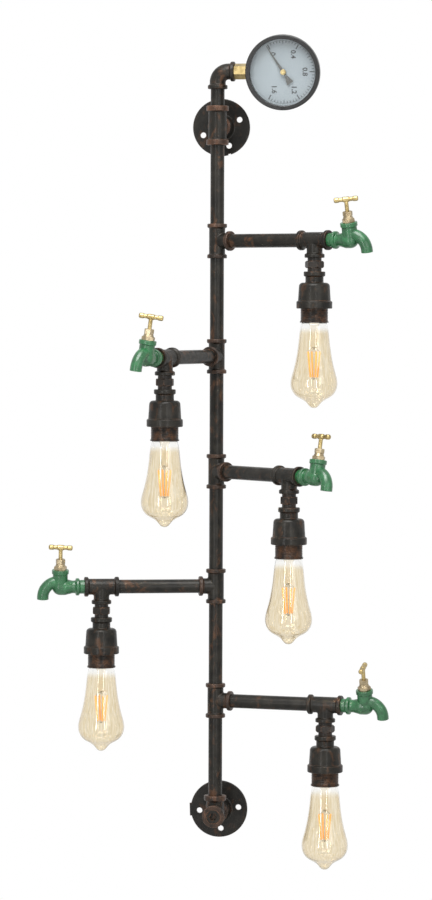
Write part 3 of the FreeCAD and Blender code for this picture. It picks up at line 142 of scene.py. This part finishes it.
def add_floor():
    """A plain pale disc well below the lamp."""
    bm = bmesh.new()
    bmesh.ops.create_circle(bm, cap_ends=True, radius=FLOOR_RADIUS, segments=FLOOR_SEGMENTS)
    mesh = bpy.data.meshes.new("floor")
    bm.to_mesh(mesh)
    bm.free()
    obj = bpy.data.objects.new("floor", mesh)
    obj.location = FLOOR_PLACE
    SCENE.collection.objects.link(obj)
    look = Look("floor_paint")
    look.colour(look.mixed(look.noise(scale=3, detail=2), *FLOOR_TONES))
    look.set_sockets({"Roughness": 0.7})
    out_from = look.add("ShaderNodeVectorMath")
    out_from.operation = "LENGTH"
    look.link(look.where, out_from.inputs[0])
    seen = look.add("ShaderNodeLightPath").outputs["Is Camera Ray"]
    far = look.ramp(out_from.outputs["Value"], FADE_FROM, FADE_TO)
    look.give_way(look.clamped("MULTIPLY", seen, far), look.add("ShaderNodeEmission"))
    mesh.materials.append(look.material)


# ---------------------------------------------------------------- materials
# how far a noise is moved along each axis for a shift of 1
SHIFT_ALONG = (1, 0.7, -1)
# the range in which a noise mostly lies
NOISE_LOW, NOISE_HIGH = 0.3, 0.7
EDGE_SAMPLES = 4
# cosine between a face's normal and the rounded one, on a flat place and at a worn edge
FLAT_COSINE, EDGE_COSINE = 0.995, 0.90
# sockets of the Mix node for its two colours, and for the mixed one
MIX_A, MIX_B, MIX_OUT = 6, 7, 2


def shade(colour, share):
    return tuple(c * share for c in colour)


class Look:
    """A node material under construction: one Principled shader and the nodes that feed it."""

    def __init__(self, name):
        self.material = bpy.data.materials.new(name)
        self.material.use_nodes = True
        self.tree = self.material.node_tree
        self.tree.nodes.clear()
        self.out = self.add("ShaderNodeOutputMaterial")
        self.shader = self.add("ShaderNodeBsdfPrincipled")
        self.link(self.shader.outputs[0], self.out.inputs[0])
        self.where = self.add("ShaderNodeTexCoord").outputs["Object"]

    def add(self, kind):
        return self.tree.nodes.new(kind)

    def link(self, a, b):
        self.tree.links.new(a, b)

    def set_sockets(self, values):
        """Numbers that are the same all over the surface."""
        for socket, value in values.items():
            self.shader.inputs[socket].default_value = value

    def noise(self, scale, detail=4, roughness=0.55, distortion=0.0, shift=0.0, stretch=1.0):
        """A noise from about 0 to 1: scale in turns per metre, drawn out upright by stretch."""
        node = self.add("ShaderNodeTexNoise")
        node.inputs["Scale"].default_value = scale
        node.inputs["Detail"].default_value = detail
        node.inputs["Roughness"].default_value = roughness
        node.inputs["Distortion"].default_value = distortion
        moved = self.add("ShaderNodeVectorMath")
        moved.operation = "MULTIPLY_ADD"
        moved.inputs[1].default_value = (1, 1, 1 / stretch)
        moved.inputs[2].default_value = shade(SHIFT_ALONG, shift)
        self.link(self.where, moved.inputs[0])
        self.link(moved.outputs[0], node.inputs["Vector"])
        return node.outputs["Fac"]

    def ramp(self, value, low, high, to_low=0.0, to_high=1.0):
        """value between low and high, spread from to_low to to_high and held there outside."""
        node = self.add("ShaderNodeMapRange")
        node.inputs["From Min"].default_value = low
        node.inputs["From Max"].default_value = high
        node.inputs["To Min"].default_value = to_low
        node.inputs["To Max"].default_value = to_high
        self.link(value, node.inputs["Value"])
        return node.outputs["Result"]

    def patches(self, low, high, amount=1.0, **noise):
        """0 where the noise is below low, and amount where it is above high."""
        return self.ramp(self.noise(**noise), low, high, to_high=amount)

    def clamped(self, operation, a, b):
        """Two sockets joined by the given operation, held between 0 and 1."""
        node = self.add("ShaderNodeMath")
        node.operation = operation
        node.use_clamp = True
        self.link(a, node.inputs[0])
        self.link(b, node.inputs[1])
        return node.outputs[0]

    def mixed(self, factor, a, b):
        """Colour a where factor is 0 and b where it is 1."""
        node = self.add("ShaderNodeMix")
        node.data_type = "RGBA"
        self.link(factor, node.inputs[0])
        for k, v in ((MIX_A, a), (MIX_B, b)):
            if isinstance(v, tuple):
                node.inputs[k].default_value = (*v, 1)
            else:
                self.link(v, node.inputs[k])
        return node.outputs[MIX_OUT]

    def colour(self, value):
        self.link(value, self.shader.inputs["Base Color"])

    def roughness(self, smooth, rough, **noise):
        """A roughness from smooth to rough, by a noise."""
        value = self.ramp(self.noise(**noise), NOISE_LOW, NOISE_HIGH, smooth, rough)
        self.link(value, self.shader.inputs["Roughness"])

    def edges(self, radius):
        """1 on worn edges and in tight corners, 0 on flat and gently curved faces."""
        bevel = self.add("ShaderNodeBevel")
        bevel.samples = EDGE_SAMPLES
        bevel.inputs["Radius"].default_value = radius
        flat = self.add("ShaderNodeNewGeometry").outputs["Normal"]
        dot = self.add("ShaderNodeVectorMath")
        dot.operation = "DOT_PRODUCT"
        self.link(bevel.outputs[0], dot.inputs[0])
        self.link(flat, dot.inputs[1])
        return self.ramp(dot.outputs["Value"], FLAT_COSINE, EDGE_COSINE)

    def bump(self, *heights):
        """heights: (value, strength, distance in metres), the coarsest first."""
        normal = None
        for value, strength, distance in heights:
            node = self.add("ShaderNodeBump")
            node.inputs["Strength"].default_value = strength
            node.inputs["Distance"].default_value = distance
            self.link(value, node.inputs["Height"])
            if normal:
                self.link(normal, node.inputs["Normal"])
            normal = node.outputs[0]
        self.link(normal, self.shader.inputs["Normal"])

    def make_clear(self, bend):
        """Clear glass; shadow and diffuse rays go through, so that it lights what is behind it."""
        self.set_sockets({"Roughness": 0.0, "IOR": bend, "Transmission Weight": 1.0})
        rays = self.add("ShaderNodeLightPath").outputs
        either = self.clamped("MAXIMUM", rays["Is Shadow Ray"], rays["Is Diffuse Ray"])
        self.give_way(either, self.add("ShaderNodeBsdfTransparent"))

    def give_way(self, factor, other):
        """Puts another shader in the place of this one where factor is 1."""
        mix = self.add("ShaderNodeMixShader")
        self.link(factor, mix.inputs[0])
        self.link(self.shader.outputs[0], mix.inputs[1])
        self.link(other.outputs[0], mix.inputs[2])
        self.link(mix.outputs[0], self.out.inputs[0])


def iron(name, dark, light, rust, rust_amount, wear, grain):
    """Dark patinated iron: two tones, rusty copper patches, rubbed edges and a cast skin."""
    look = Look(name)
    tone = look.mixed(look.patches(0.36, 0.66, scale=60, detail=6), dark, light)
    rusty = look.patches(0.54, 0.66, rust_amount, scale=75, detail=7, roughness=0.65,
                         distortion=0.5, shift=0.37, stretch=1.8)
    tone = look.mixed(rusty, tone, rust)
    worn = look.patches(0.40, 0.62, wear, scale=120, detail=5, shift=0.9)
    rubbed = look.clamped("MULTIPLY", look.edges(radius=0.0011), worn)
    tone = look.mixed(rubbed, tone, shade(rust, 2.0))
    specks = look.patches(0.44, 0.66, 0.35, scale=640, detail=3, roughness=0.6)
    look.colour(look.mixed(specks, tone, shade(dark, 0.5)))
    look.roughness(0.36, 0.56, scale=190, detail=4, shift=0.2)
    look.set_sockets({"Metallic": 0.3, "Specular IOR Level": 0.2,
                      "Coat Weight": 0.14, "Coat Roughness": 0.2})
    look.bump((look.noise(scale=260, detail=5, roughness=0.6), 0.35 * grain, 0.0006),
              (look.noise(scale=1300, detail=3, roughness=0.6), 0.30 * grain, 0.0002))
    return look.material


def enamel():
    """Green enamel in two tones, with pale patches of painted highlight and dark chips."""
    look = Look("green_enamel")
    two_tones = look.patches(0.36, 0.66, scale=95, detail=6, roughness=0.6, distortion=0.3)
    tone = look.mixed(two_tones, (0.005, 0.062, 0.017), (0.017, 0.125, 0.040))
    # painted highlight: pale green patches in the colour stand in for the gloss on the enamel
    pale = look.patches(0.60, 0.74, 0.55, scale=210, detail=5, roughness=0.65, shift=0.5)
    tone = look.mixed(pale, tone, (0.11, 0.30, 0.15))
    chips = look.patches(0.60, 0.70, 0.65, scale=330, detail=4, roughness=0.6, shift=0.8)
    look.colour(look.mixed(chips, tone, (0.012, 0.052, 0.028)))
    look.roughness(0.26, 0.44, scale=150, detail=3)
    look.set_sockets({"Coat Weight": 0.3, "Coat Roughness": 0.18})
    look.bump((look.noise(scale=170, detail=4, roughness=0.6), 0.45, 0.0008),
              (look.noise(scale=900, detail=3), 0.2, 0.0002))
    return look.material


def metal(name, dark, light, roughness, metallic=1.0, grain=1.0, scale=90):
    """A plain metal or paint with slight tone changes, a speckle and a fine grain."""
    look = Look(name)
    two_tones = look.patches(0.35, 0.68, scale=scale, detail=5, roughness=0.6)
    tone = look.mixed(two_tones, dark, light)
    stain = look.patches(0.58, 0.74, 0.5, scale=scale * 3, detail=4, shift=0.4)
    look.colour(look.mixed(stain, tone, shade(dark, 0.55)))
    look.roughness(roughness * 0.85, roughness * 1.2, scale=scale * 2, detail=3)
    look.set_sockets({"Metallic": metallic})
    look.bump((look.noise(scale=scale * 9, detail=3), 0.2 * grain, 0.0002))
    return look.material


def dial_paint():
    look = Look("dial_paint")
    two_tones = look.patches(NOISE_LOW, NOISE_HIGH, scale=45, detail=4)
    tone = look.mixed(two_tones, (0.240, 0.277, 0.298), (0.266, 0.303, 0.320))
    specks = look.patches(0.66, 0.78, 0.25, scale=1500, detail=2)
    look.colour(look.mixed(specks, tone, (0.22, 0.25, 0.27)))
    look.set_sockets({"Roughness": 0.62})
    look.bump((look.noise(scale=2200, detail=2), 0.1, 0.0001))
    return look.material


def glass(name, tint, bend):
    look = Look(name)
    look.colour(look.mixed(look.noise(scale=40, detail=2), tint, shade(tint, 0.985)))
    look.make_clear(bend)
    return look.material


def amber_glass():
    """Clear at the neck, straw amber below, by the depth kept on the mesh."""
    look = Look("amber_glass")
    depth = look.add("ShaderNodeAttribute")
    depth.attribute_name = "amber"
    streaks = look.patches(0.42, 0.62, scale=420, detail=3, stretch=40)
    cloud = look.mixed(streaks, (0.925, 0.875, 0.765), (0.85, 0.765, 0.60))
    rim = look.add("ShaderNodeLayerWeight")
    rim.inputs["Blend"].default_value = 0.5
    outline = look.ramp(rim.outputs["Facing"], 0.40, 0.92, to_high=0.8)
    cloud = look.mixed(outline, cloud, (0.60, 0.50, 0.36))
    look.colour(look.mixed(depth.outputs["Fac"], (0.965, 0.965, 0.955), cloud))
    look.bump((look.noise(scale=26, detail=2), 0.05, 0.001))
    look.make_clear(GLASS_BEND)
    return look.material


def filament_phosphor_painted_glow():
    look = Look("filament_phosphor_painted_glow")
    two_tones = look.patches(0.4, 0.6, scale=700, detail=2)
    tone = look.mixed(two_tones, (0.86, 0.30, 0.035), (0.95, 0.42, 0.07))
    look.colour(tone)
    # painted glow: the filament strips give off a faint light in their own orange colour
    look.link(tone, look.shader.inputs["Emission Color"])
    look.set_sockets({"Emission Strength": 0.5, "Roughness": 0.5})
    return look.material


# how far the bulb's glass and its stem bend light: the stem bends it less
GLASS_BEND, STEM_BEND = 1.47, 1.16
DARK, LIGHT = (0.0060, 0.0053, 0.0039), (0.0205, 0.0180, 0.0138)
RUST = (0.120, 0.052, 0.022)
PIPE_IRON = iron("pipe_iron", DARK, LIGHT, RUST, rust_amount=0.55, wear=0.6, grain=0.35)
CAST_IRON = iron("cast_iron", DARK, LIGHT, RUST, rust_amount=0.50, wear=1.0, grain=1.0)
RUBBED_IRON = iron("rubbed_iron", (0.011, 0.0095, 0.008), (0.030, 0.0235, 0.0185),
                   (0.11, 0.055, 0.030), rust_amount=0.4, wear=0.9, grain=0.7)
BAND_IRON = iron("band_iron", (0.016, 0.0115, 0.0085), (0.062, 0.035, 0.023),
                 (0.17, 0.085, 0.050), rust_amount=0.6, wear=1.0, grain=0.8)
COPPER_IRON = iron("copper_iron", (0.030, 0.017, 0.011), (0.130, 0.064, 0.038),
                   (0.24, 0.125, 0.075), rust_amount=0.6, wear=1.0, grain=0.8)
PLATE_IRON = iron("plate_iron", (0.0060, 0.0055, 0.0045), (0.0155, 0.0138, 0.0112),
                  RUST, rust_amount=0.30, wear=0.6, grain=0.9)
SHELL_IRON = iron("shell_iron", (0.0095, 0.0078, 0.0064), (0.024, 0.0185, 0.0145),
                  RUST, rust_amount=0.35, wear=0.7, grain=0.6)
ENAMEL = enamel()
BRASS = metal("brass", (0.30, 0.225, 0.095), (0.50, 0.395, 0.19), roughness=0.33)
OLD_BRASS = metal("old_brass", (0.27, 0.21, 0.125), (0.46, 0.385, 0.255), roughness=0.38)
BLACK_STEEL = metal("black_steel", (0.0030, 0.0029, 0.0027), (0.0060, 0.0058, 0.0055),
                    roughness=0.30, metallic=0.15, grain=0.6, scale=60)
HAND_STEEL = metal("hand_steel", (0.050, 0.052, 0.048), (0.085, 0.085, 0.078),
                   roughness=0.42, metallic=0.4, grain=0.5, scale=300)
CAP_METAL = metal("cap_metal", (0.50, 0.50, 0.49), (0.68, 0.68, 0.66), roughness=0.32)
WIRE = metal("support_wire", (0.22, 0.20, 0.17), (0.38, 0.35, 0.30),
             roughness=0.35, grain=0.3, scale=500)
PORCELAIN = metal("porcelain", (0.66, 0.64, 0.58), (0.76, 0.74, 0.69),
                  roughness=0.3, metallic=0.0, grain=0.4, scale=80)
SLEEVE = metal("lead_sleeve", (0.022, 0.022, 0.022), (0.032, 0.032, 0.032),
               roughness=0.5, metallic=0.0, grain=0.5, scale=400)
FIBRE = metal("packing_fibre", (0.42, 0.38, 0.28), (0.56, 0.52, 0.42),
              roughness=0.8, metallic=0.0, grain=1.5, scale=500)
DIAL = dial_paint()
INK = metal("dial_ink", (0.005, 0.006, 0.008), (0.011, 0.013, 0.016),
            roughness=0.6, metallic=0.0, grain=0.3, scale=900)
WINDOW = glass("window_glass", (0.97, 0.98, 0.98), GLASS_BEND)
STEM_GLASS = glass("stem_glass", (0.96, 0.90, 0.80), STEM_BEND)
AMBER = amber_glass()
PHOSPHOR_PAINTED_GLOW = filament_phosphor_painted_glow()


def five(stem):
    return [f"{stem}_{k}" for k in LAMPS]


FINISH = {
    PIPE_IRON: ["riser_pipes", "arm_pipes", "gauge_pipe", "wall_nipples"],
    CAST_IRON: ["wall_tee_lower", "wall_tee_upper", "gauge_elbow", "end_plug",
                "arm_tees", "bell_reducers", *five("riser_tee")],
    RUBBED_IRON: ["hex_nipples"],
    PLATE_IRON: ["wall_flange_upper", "wall_flange_lower"],
    ENAMEL: ["tap_bodies"],
    OLD_BRASS: ["tap_bonnets", "tap_gland_nuts", "screw_shells", "centre_contacts",
                *five("tap_jumper")],
    BRASS: ["gauge_socket", "gauge_bourdon_tube", "gauge_movement", *five("tap_spindle")],
    BLACK_STEEL: ["gauge_case", "gauge_bezel"],
    HAND_STEEL: ["gauge_pointer"],
    DIAL: ["gauge_dial"],
    WINDOW: ["gauge_window"],
    CAP_METAL: five("bulb_cap"),
    SHELL_IRON: ["lampholder_shells"],
    PORCELAIN: ["lampholder_cores"],
    SLEEVE: ["lamp_leads"],
    FIBRE: ["tap_packings"],
    AMBER: five("bulb_glass"),
    WIRE: five("bulb_filament"),
}

RISER_Y = -0.060
# fitting, its bands' material and their width in mm
BANDED = [("wall_tee_upper", COPPER_IRON, 7.4), ("wall_tee_lower", BAND_IRON, 7.4)]
BANDED += [(name, BAND_IRON, 5.2) for name in five("riser_tee")]


def finish_nodes():
    for material, names in FINISH.items():
        for name in names:
            mesh = NODES[name].data
            mesh.materials.clear()
            mesh.materials.append(material)
            for face in mesh.polygons:
                face.material_index = 0


def colour_bands():
    """The rubbed bands at the mouths of the fittings on the riser."""
    for name, material, width in BANDED:
        low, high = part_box(name)
        mesh = NODES[name].data
        mesh.materials.append(material)
        middle, reach = (low.z + high.z) / 2, (high.z - low.z) / 2 - width * MM
        for face in mesh.polygons:
            x, y, z = face.center
            if max(abs(z - middle), math.hypot(x, y - RISER_Y)) > reach:
                face.material_index = 1


# ---------------------------------------------------------------- making meshes
# a point nearer to the axis than this is on it
ON_AXIS = 1e-7
# the last step of a spline is taken this much before its end, to stay in its last span
BEFORE_END = 1e-9
# a bar that points up or down more than this takes its sides from X
STEEP = 0.95


def link_mesh(name, bm, material, body, smooth=True):
    mesh = bpy.data.meshes.new(name)
    bm.normal_update()
    bm.to_mesh(mesh)
    bm.free()
    mesh.materials.append(material)
    for face in mesh.polygons:
        face.use_smooth = smooth
    obj = bpy.data.objects.new(name, mesh)
    SCENE.collection.objects.link(obj)
    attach(obj, body)
    return obj


def spin(bm, profile, centre, turns=96):
    """Turns (radius, height) points round the vertical through centre."""
    rings = []
    for radius, height in profile:
        if radius < ON_AXIS:
            rings.append([bm.verts.new(centre + Vector((0, 0, height)))])
            continue
        angles = [2 * math.pi * k / turns for k in range(turns)]
        rings.append([
            bm.verts.new(centre + Vector((radius * math.cos(a), radius * math.sin(a), height)))
            for a in angles
        ])
    for a, b in zip(rings, rings[1:]):
        for k in range(turns):
            n = (k + 1) % turns
            if len(a) == 1 and len(b) == 1:
                break
            if len(a) == 1:
                bm.faces.new((a[0], b[n], b[k]))
            elif len(b) == 1:
                bm.faces.new((a[k], a[n], b[0]))
            else:
                bm.faces.new((a[k], a[n], b[n], b[k]))


def tube(bm, points, radii, turns=12):
    """A round bar through the points, with its ends closed."""
    angles = [2 * math.pi * j / turns for j in range(turns)]
    rings = []
    for k, p in enumerate(points):
        along = (points[min(k + 1, len(points) - 1)] - points[max(k - 1, 0)]).normalized()
        side = along.cross(UP if abs(along.z) < STEEP else Vector((1, 0, 0))).normalized()
        other = along.cross(side)
        rings.append([bm.verts.new(p + radii[k] * (side * math.cos(a) + other * math.sin(a)))
                      for a in angles])
    for a, b in zip(rings, rings[1:]):
        for j in range(turns):
            n = (j + 1) % turns
            bm.faces.new((a[j], a[n], b[n], b[j]))
    bm.faces.new(rings[0][::-1])
    bm.faces.new(rings[-1])


def spline(poles, steps):
    """Points of the clamped cubic B-spline on these poles, its knots evenly spaced."""
    degree = 3
    spans = len(poles) - degree
    knots = [0.0] * degree + [float(k) for k in range(spans + 1)] + [float(spans)] * degree
    points = []
    for s in range(steps + 1):
        t = min(spans * s / steps, spans - BEFORE_END)
        span = int(t) + degree
        work = [Vector(poles[span - degree + j]) for j in range(degree + 1)]
        for level in range(1, degree + 1):
            for j in range(degree, level - 1, -1):
                low = knots[span - degree + j]
                share = (t - low) / (knots[span + 1 + j - level] - low)
                work[j] = work[j - 1] * (1 - share) + work[j] * share
        points.append(work[degree])
    points[-1] = Vector(poles[-1])
    return points


# ---------------------------------------------------------------- bulbs, in mm
# (radius, distance below the cap's lower edge) of the glass's control points
GLASS_POLES = [
    (13.1, 0.0), (17.4, 0.2), (19.4, 4.9), (20.9, 14.9), (23.3, 41.9), (28.6, 67.9), (33.6, 81.9),
    (33.8, 95.6), (27.0, 106.6), (17.5, 110.8), (10.6, 115.2), (7.4, 120.5), (3.4, 123.6),
    (0.0, 123.6),
]
GLASS_STEPS = 84
GLASS_LENGTH = GLASS_POLES[-1][1]
GLASS_WALL = 0.9
# depths between which the glass turns from clear to amber
CLEAR_NECK, AMBER_FROM = 8.0, 19.0
STEM_END = 39.5
# (radius, height) of the stem inside the neck
STEM_PROFILE = [
    (0.0, -1.5), (7.5, -1.5), (7.2, -4.0), (5.6, -9.0), (4.7, -15.0), (4.4, -24.0), (4.4, -32.0),
    (4.9, -34.5), (5.0, -37.0), (3.6, -39.0), (0.0, -STEM_END),
]
STEM_TURNS = 40
# the filaments: (distance from the axis, depth) of both ends, radius, and how the set is turned
FILAMENTS, FILAMENT_TURN = 4, 25
FILAMENT_TOP, FILAMENT_FOOT = (9.0, 43.0), (5.2, 80.0)
FILAMENT_RADIUS, FILAMENT_END_RADIUS = 1.2, 0.5
# the share of a filament's length in which its end grows to its full radius
FILAMENT_TAPER = 0.02
# the wires leave the stem this far above its end and from the axis
WIRE_ABOVE_END, WIRE_OUT = 3.0, 1.6
# the share of a wire's run at which it bends, its sag there, and how far it runs into the strip
HEAD_WIRE_BEND, HEAD_WIRE_SAG, HEAD_WIRE_GRIP = 0.35, 1.2, 0.4
FOOT_WIRE_BEND, FOOT_WIRE_SAG = 0.6, 0.5
WIRE_RADIUS, MAST_RADIUS = 0.3, 0.25
WIRE_TURNS = 8
# how far below the filaments' feet their wires meet, and the mast in the middle ends
HUB_DROP, MAST_DROP = 2.6, 3.4


def lamp_top(k):
    """The middle of the cap's lower edge, where the glass of bulb k begins."""
    low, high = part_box(f"bulb_glass_{k}")
    return Vector(((low.x + high.x) / 2, (low.y + high.y) / 2, low.z + GLASS_LENGTH * MM))


def add_bulb_glass(k):
    outer = spline([Vector((r, -z)) for r, z in GLASS_POLES], GLASS_STEPS)
    inner = []
    for j, p in enumerate(outer):
        along = outer[min(j + 1, len(outer) - 1)] - outer[max(j - 1, 0)]
        inward = Vector((along.y, -along.x)).normalized()
        inner.append(Vector((max(p.x + inward.x * GLASS_WALL, 0.0),
                             p.y + inward.y * GLASS_WALL)))
    inner[0] = Vector((outer[0].x - GLASS_WALL, outer[0].y))
    inner[-1] = Vector((0.0, outer[-1].y + GLASS_WALL))
    bm = bmesh.new()
    depth = bm.verts.layers.float.new("amber")
    centre = lamp_top(k)
    spin(bm, [(p.x * MM, p.y * MM) for p in inner[::-1] + outer], centre)
    for v in bm.verts:
        below = (centre.z - v.co.z) / MM
        share = min(max((below - CLEAR_NECK) / (AMBER_FROM - CLEAR_NECK), 0.0), 1.0)
        v[depth] = share * share * (3 - 2 * share)
    bmesh.ops.recalc_face_normals(bm, faces=bm.faces)
    obj = link_mesh(f"amber_envelope_{k}", bm, AMBER, f"bulb_{k}")
    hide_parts(f"bulb_glass_{k}")


def add_bulb_inside(k):
    """The pinched glass stem with its wires, and four slender filaments."""
    top = lamp_top(k)
    bm = bmesh.new()
    spin(bm, [(r * MM, z * MM) for r, z in STEM_PROFILE], top, STEM_TURNS)
    bmesh.ops.recalc_face_normals(bm, faces=bm.faces)
    stem = link_mesh(f"glass_stem_{k}", bm, STEM_GLASS, f"bulb_{k}")
    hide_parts(f"bulb_filament_{k}")
    strips, wires = bmesh.new(), bmesh.new()
    lead = STEM_END - WIRE_ABOVE_END
    hub = top - UP * (FILAMENT_FOOT[1] + HUB_DROP) * MM
    thin = [WIRE_RADIUS * MM] * 3
    for q in range(FILAMENTS):
        angle = math.radians(FILAMENT_TURN + 360 / FILAMENTS * q)
        out = Vector((math.cos(angle), math.sin(angle), 0))
        head = top + (out * FILAMENT_TOP[0] - UP * FILAMENT_TOP[1]) * MM
        foot = top + (out * FILAMENT_FOOT[0] - UP * FILAMENT_FOOT[1]) * MM
        full = head.lerp(foot, FILAMENT_TAPER), head.lerp(foot, 1 - FILAMENT_TAPER)
        tube(strips, [head, *full, foot],
             [r * MM for r in (FILAMENT_END_RADIUS, FILAMENT_RADIUS,
                               FILAMENT_RADIUS, FILAMENT_END_RADIUS)])
        neck = top + (out * WIRE_OUT - UP * lead) * MM
        sag = neck.lerp(head, HEAD_WIRE_BEND) - UP * HEAD_WIRE_SAG * MM
        grip = head + (foot - head).normalized() * HEAD_WIRE_GRIP * MM
        tube(wires, [neck, sag, grip], thin, WIRE_TURNS)
        sag = foot.lerp(hub, FOOT_WIRE_BEND) - UP * FOOT_WIRE_SAG * MM
        tube(wires, [foot, sag, hub], thin, WIRE_TURNS)
    mast_end = top - UP * (FILAMENT_FOOT[1] + MAST_DROP) * MM
    tube(wires, [top - UP * lead * MM, mast_end], [MAST_RADIUS * MM] * 2, WIRE_TURNS)
    link_mesh(f"filament_strips_{k}", strips, PHOSPHOR_PAINTED_GLOW, f"bulb_{k}")
    link_mesh(f"support_wires_{k}", wires, WIRE, f"bulb_{k}")


# ---------------------------------------------------------------- gauge, in mm and degrees
GAUGE_YAW, GAUGE_TILT = math.radians(4.5), math.radians(9)
LEG = Vector((math.cos(GAUGE_YAW), -math.sin(GAUGE_YAW), 0))
FACING = LEG.cross(UP)
DIAL_NORMAL = FACING * math.cos(GAUGE_TILT) - UP * math.sin(GAUGE_TILT)
DIAL_UP = DIAL_NORMAL.cross(LEG)
DIAL_CENTRE = sum(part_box("gauge_dial"), Vector()) / 2
DIAL_HALF, INK_PROUD = 0.4, 0.12
INK_LEVEL = DIAL_HALF + INK_PROUD
# the scale begins at the first angle, and its numerals stand a step apart
SCALE_START, SCALE_STEP = 120.0, 60.0
DIVISIONS = 10
TICK_OUT = 45.0
# every how many divisions, the mark's inner radius and width; the first that fits is taken
TICKS = ((DIVISIONS, 37.8, 1.5), (DIVISIONS // 2, 40.4, 1.0), (1, 41.8, 0.85))
ARC_WIDTH, ARC_PIECES = 0.3, 120
# each numeral and its distance from the middle
NUMERALS = (("0", 30.0), ("0.4", 29.0), ("0.8", 31.0), ("1.2", 29.5), ("1.6", 28.5))
NUMERAL_SIZE = 10.0
NUMERAL_WEIGHT = 0.3
NUMERAL_STEPS = 4
SCALE_STEPS = len(NUMERALS) - 1
HAND_HUB = 4.6


def on_dial(x, y):
    """A point of the ink, x along the gauge's leg and y up the dial."""
    return DIAL_CENTRE + (LEG * x + DIAL_UP * y + DIAL_NORMAL * INK_LEVEL) * MM


def at_angle(radius, degrees):
    angle = math.radians(degrees)
    return on_dial(radius * math.cos(angle), radius * math.sin(angle))


def add_ticks(bm):
    for j in range(DIVISIONS * SCALE_STEPS + 1):
        angle = math.radians(SCALE_START - SCALE_STEP * j / DIVISIONS)
        inner, width = next(tick[1:] for tick in TICKS if j % tick[0] == 0)
        c, s = math.cos(angle), math.sin(angle)
        corners = [(inner, -width / 2), (TICK_OUT, -width / 2),
                   (TICK_OUT, width / 2), (inner, width / 2)]
        bm.faces.new([bm.verts.new(on_dial(r * c - w * s, r * s + w * c)) for r, w in corners])


def add_arc(bm):
    """The thin line along the outer ends of the ticks."""
    arc = [SCALE_START - SCALE_STEP * SCALE_STEPS * j / ARC_PIECES for j in range(ARC_PIECES + 1)]
    wide = TICK_OUT + ARC_WIDTH
    for a, b in zip(arc, arc[1:]):
        corners = ((TICK_OUT, a), (wide, a), (wide, b), (TICK_OUT, b))
        bm.faces.new([bm.verts.new(at_angle(r, angle)) for r, angle in corners])


def add_numeral(bm, j, text, radius):
    curve = bpy.data.curves.new(f"numeral_{j}", "FONT")
    curve.body = text
    curve.size = NUMERAL_SIZE * MM
    curve.align_x, curve.align_y = "CENTER", "CENTER"
    curve.resolution_u = NUMERAL_STEPS
    curve.offset = NUMERAL_WEIGHT * MM
    holder = bpy.data.objects.new(f"numeral_{j}", curve)
    SCENE.collection.objects.link(holder)
    bpy.context.view_layer.update()
    graph = bpy.context.evaluated_depsgraph_get()
    glyph = bpy.data.meshes.new_from_object(holder.evaluated_get(graph))
    bpy.data.objects.remove(holder)
    place = Matrix((-DIAL_UP, LEG, DIAL_NORMAL)).transposed().to_4x4()
    place.translation = at_angle(radius, SCALE_START - SCALE_STEP * j)
    glyph.transform(place)
    bm.from_mesh(glyph)
    bpy.data.meshes.remove(glyph)


def add_dial_marks():
    bm = bmesh.new()
    add_ticks(bm)
    add_arc(bm)
    for j, (text, radius) in enumerate(NUMERALS):
        add_numeral(bm, j, text, radius)
    bmesh.ops.recalc_face_normals(bm, faces=bm.faces)
    for face in bm.faces:
        if face.normal.dot(DIAL_NORMAL) < 0:
            face.normal_flip()
    link_mesh("gauge_scale", bm, INK, "root", smooth=False)


def colour_hand():
    """The hub of the hand is brass, and the rest of it is steel."""
    mesh = NODES["gauge_pointer"].data
    mesh.materials.append(BRASS)
    for face in mesh.polygons:
        off = face.center - DIAL_CENTRE
        off -= DIAL_NORMAL * off.dot(DIAL_NORMAL)
        if off.length < HAND_HUB * MM:
            face.material_index = 1


add_camera()
add_world()
for light in LIGHTS:
    add_light(*light)
add_floor()
finish_nodes()
colour_bands()
for lamp in LAMPS:
    add_bulb_glass(lamp)
    add_bulb_inside(lamp)
add_dial_marks()
colour_hand()

SCENE.view_settings.view_transform = "Standard"
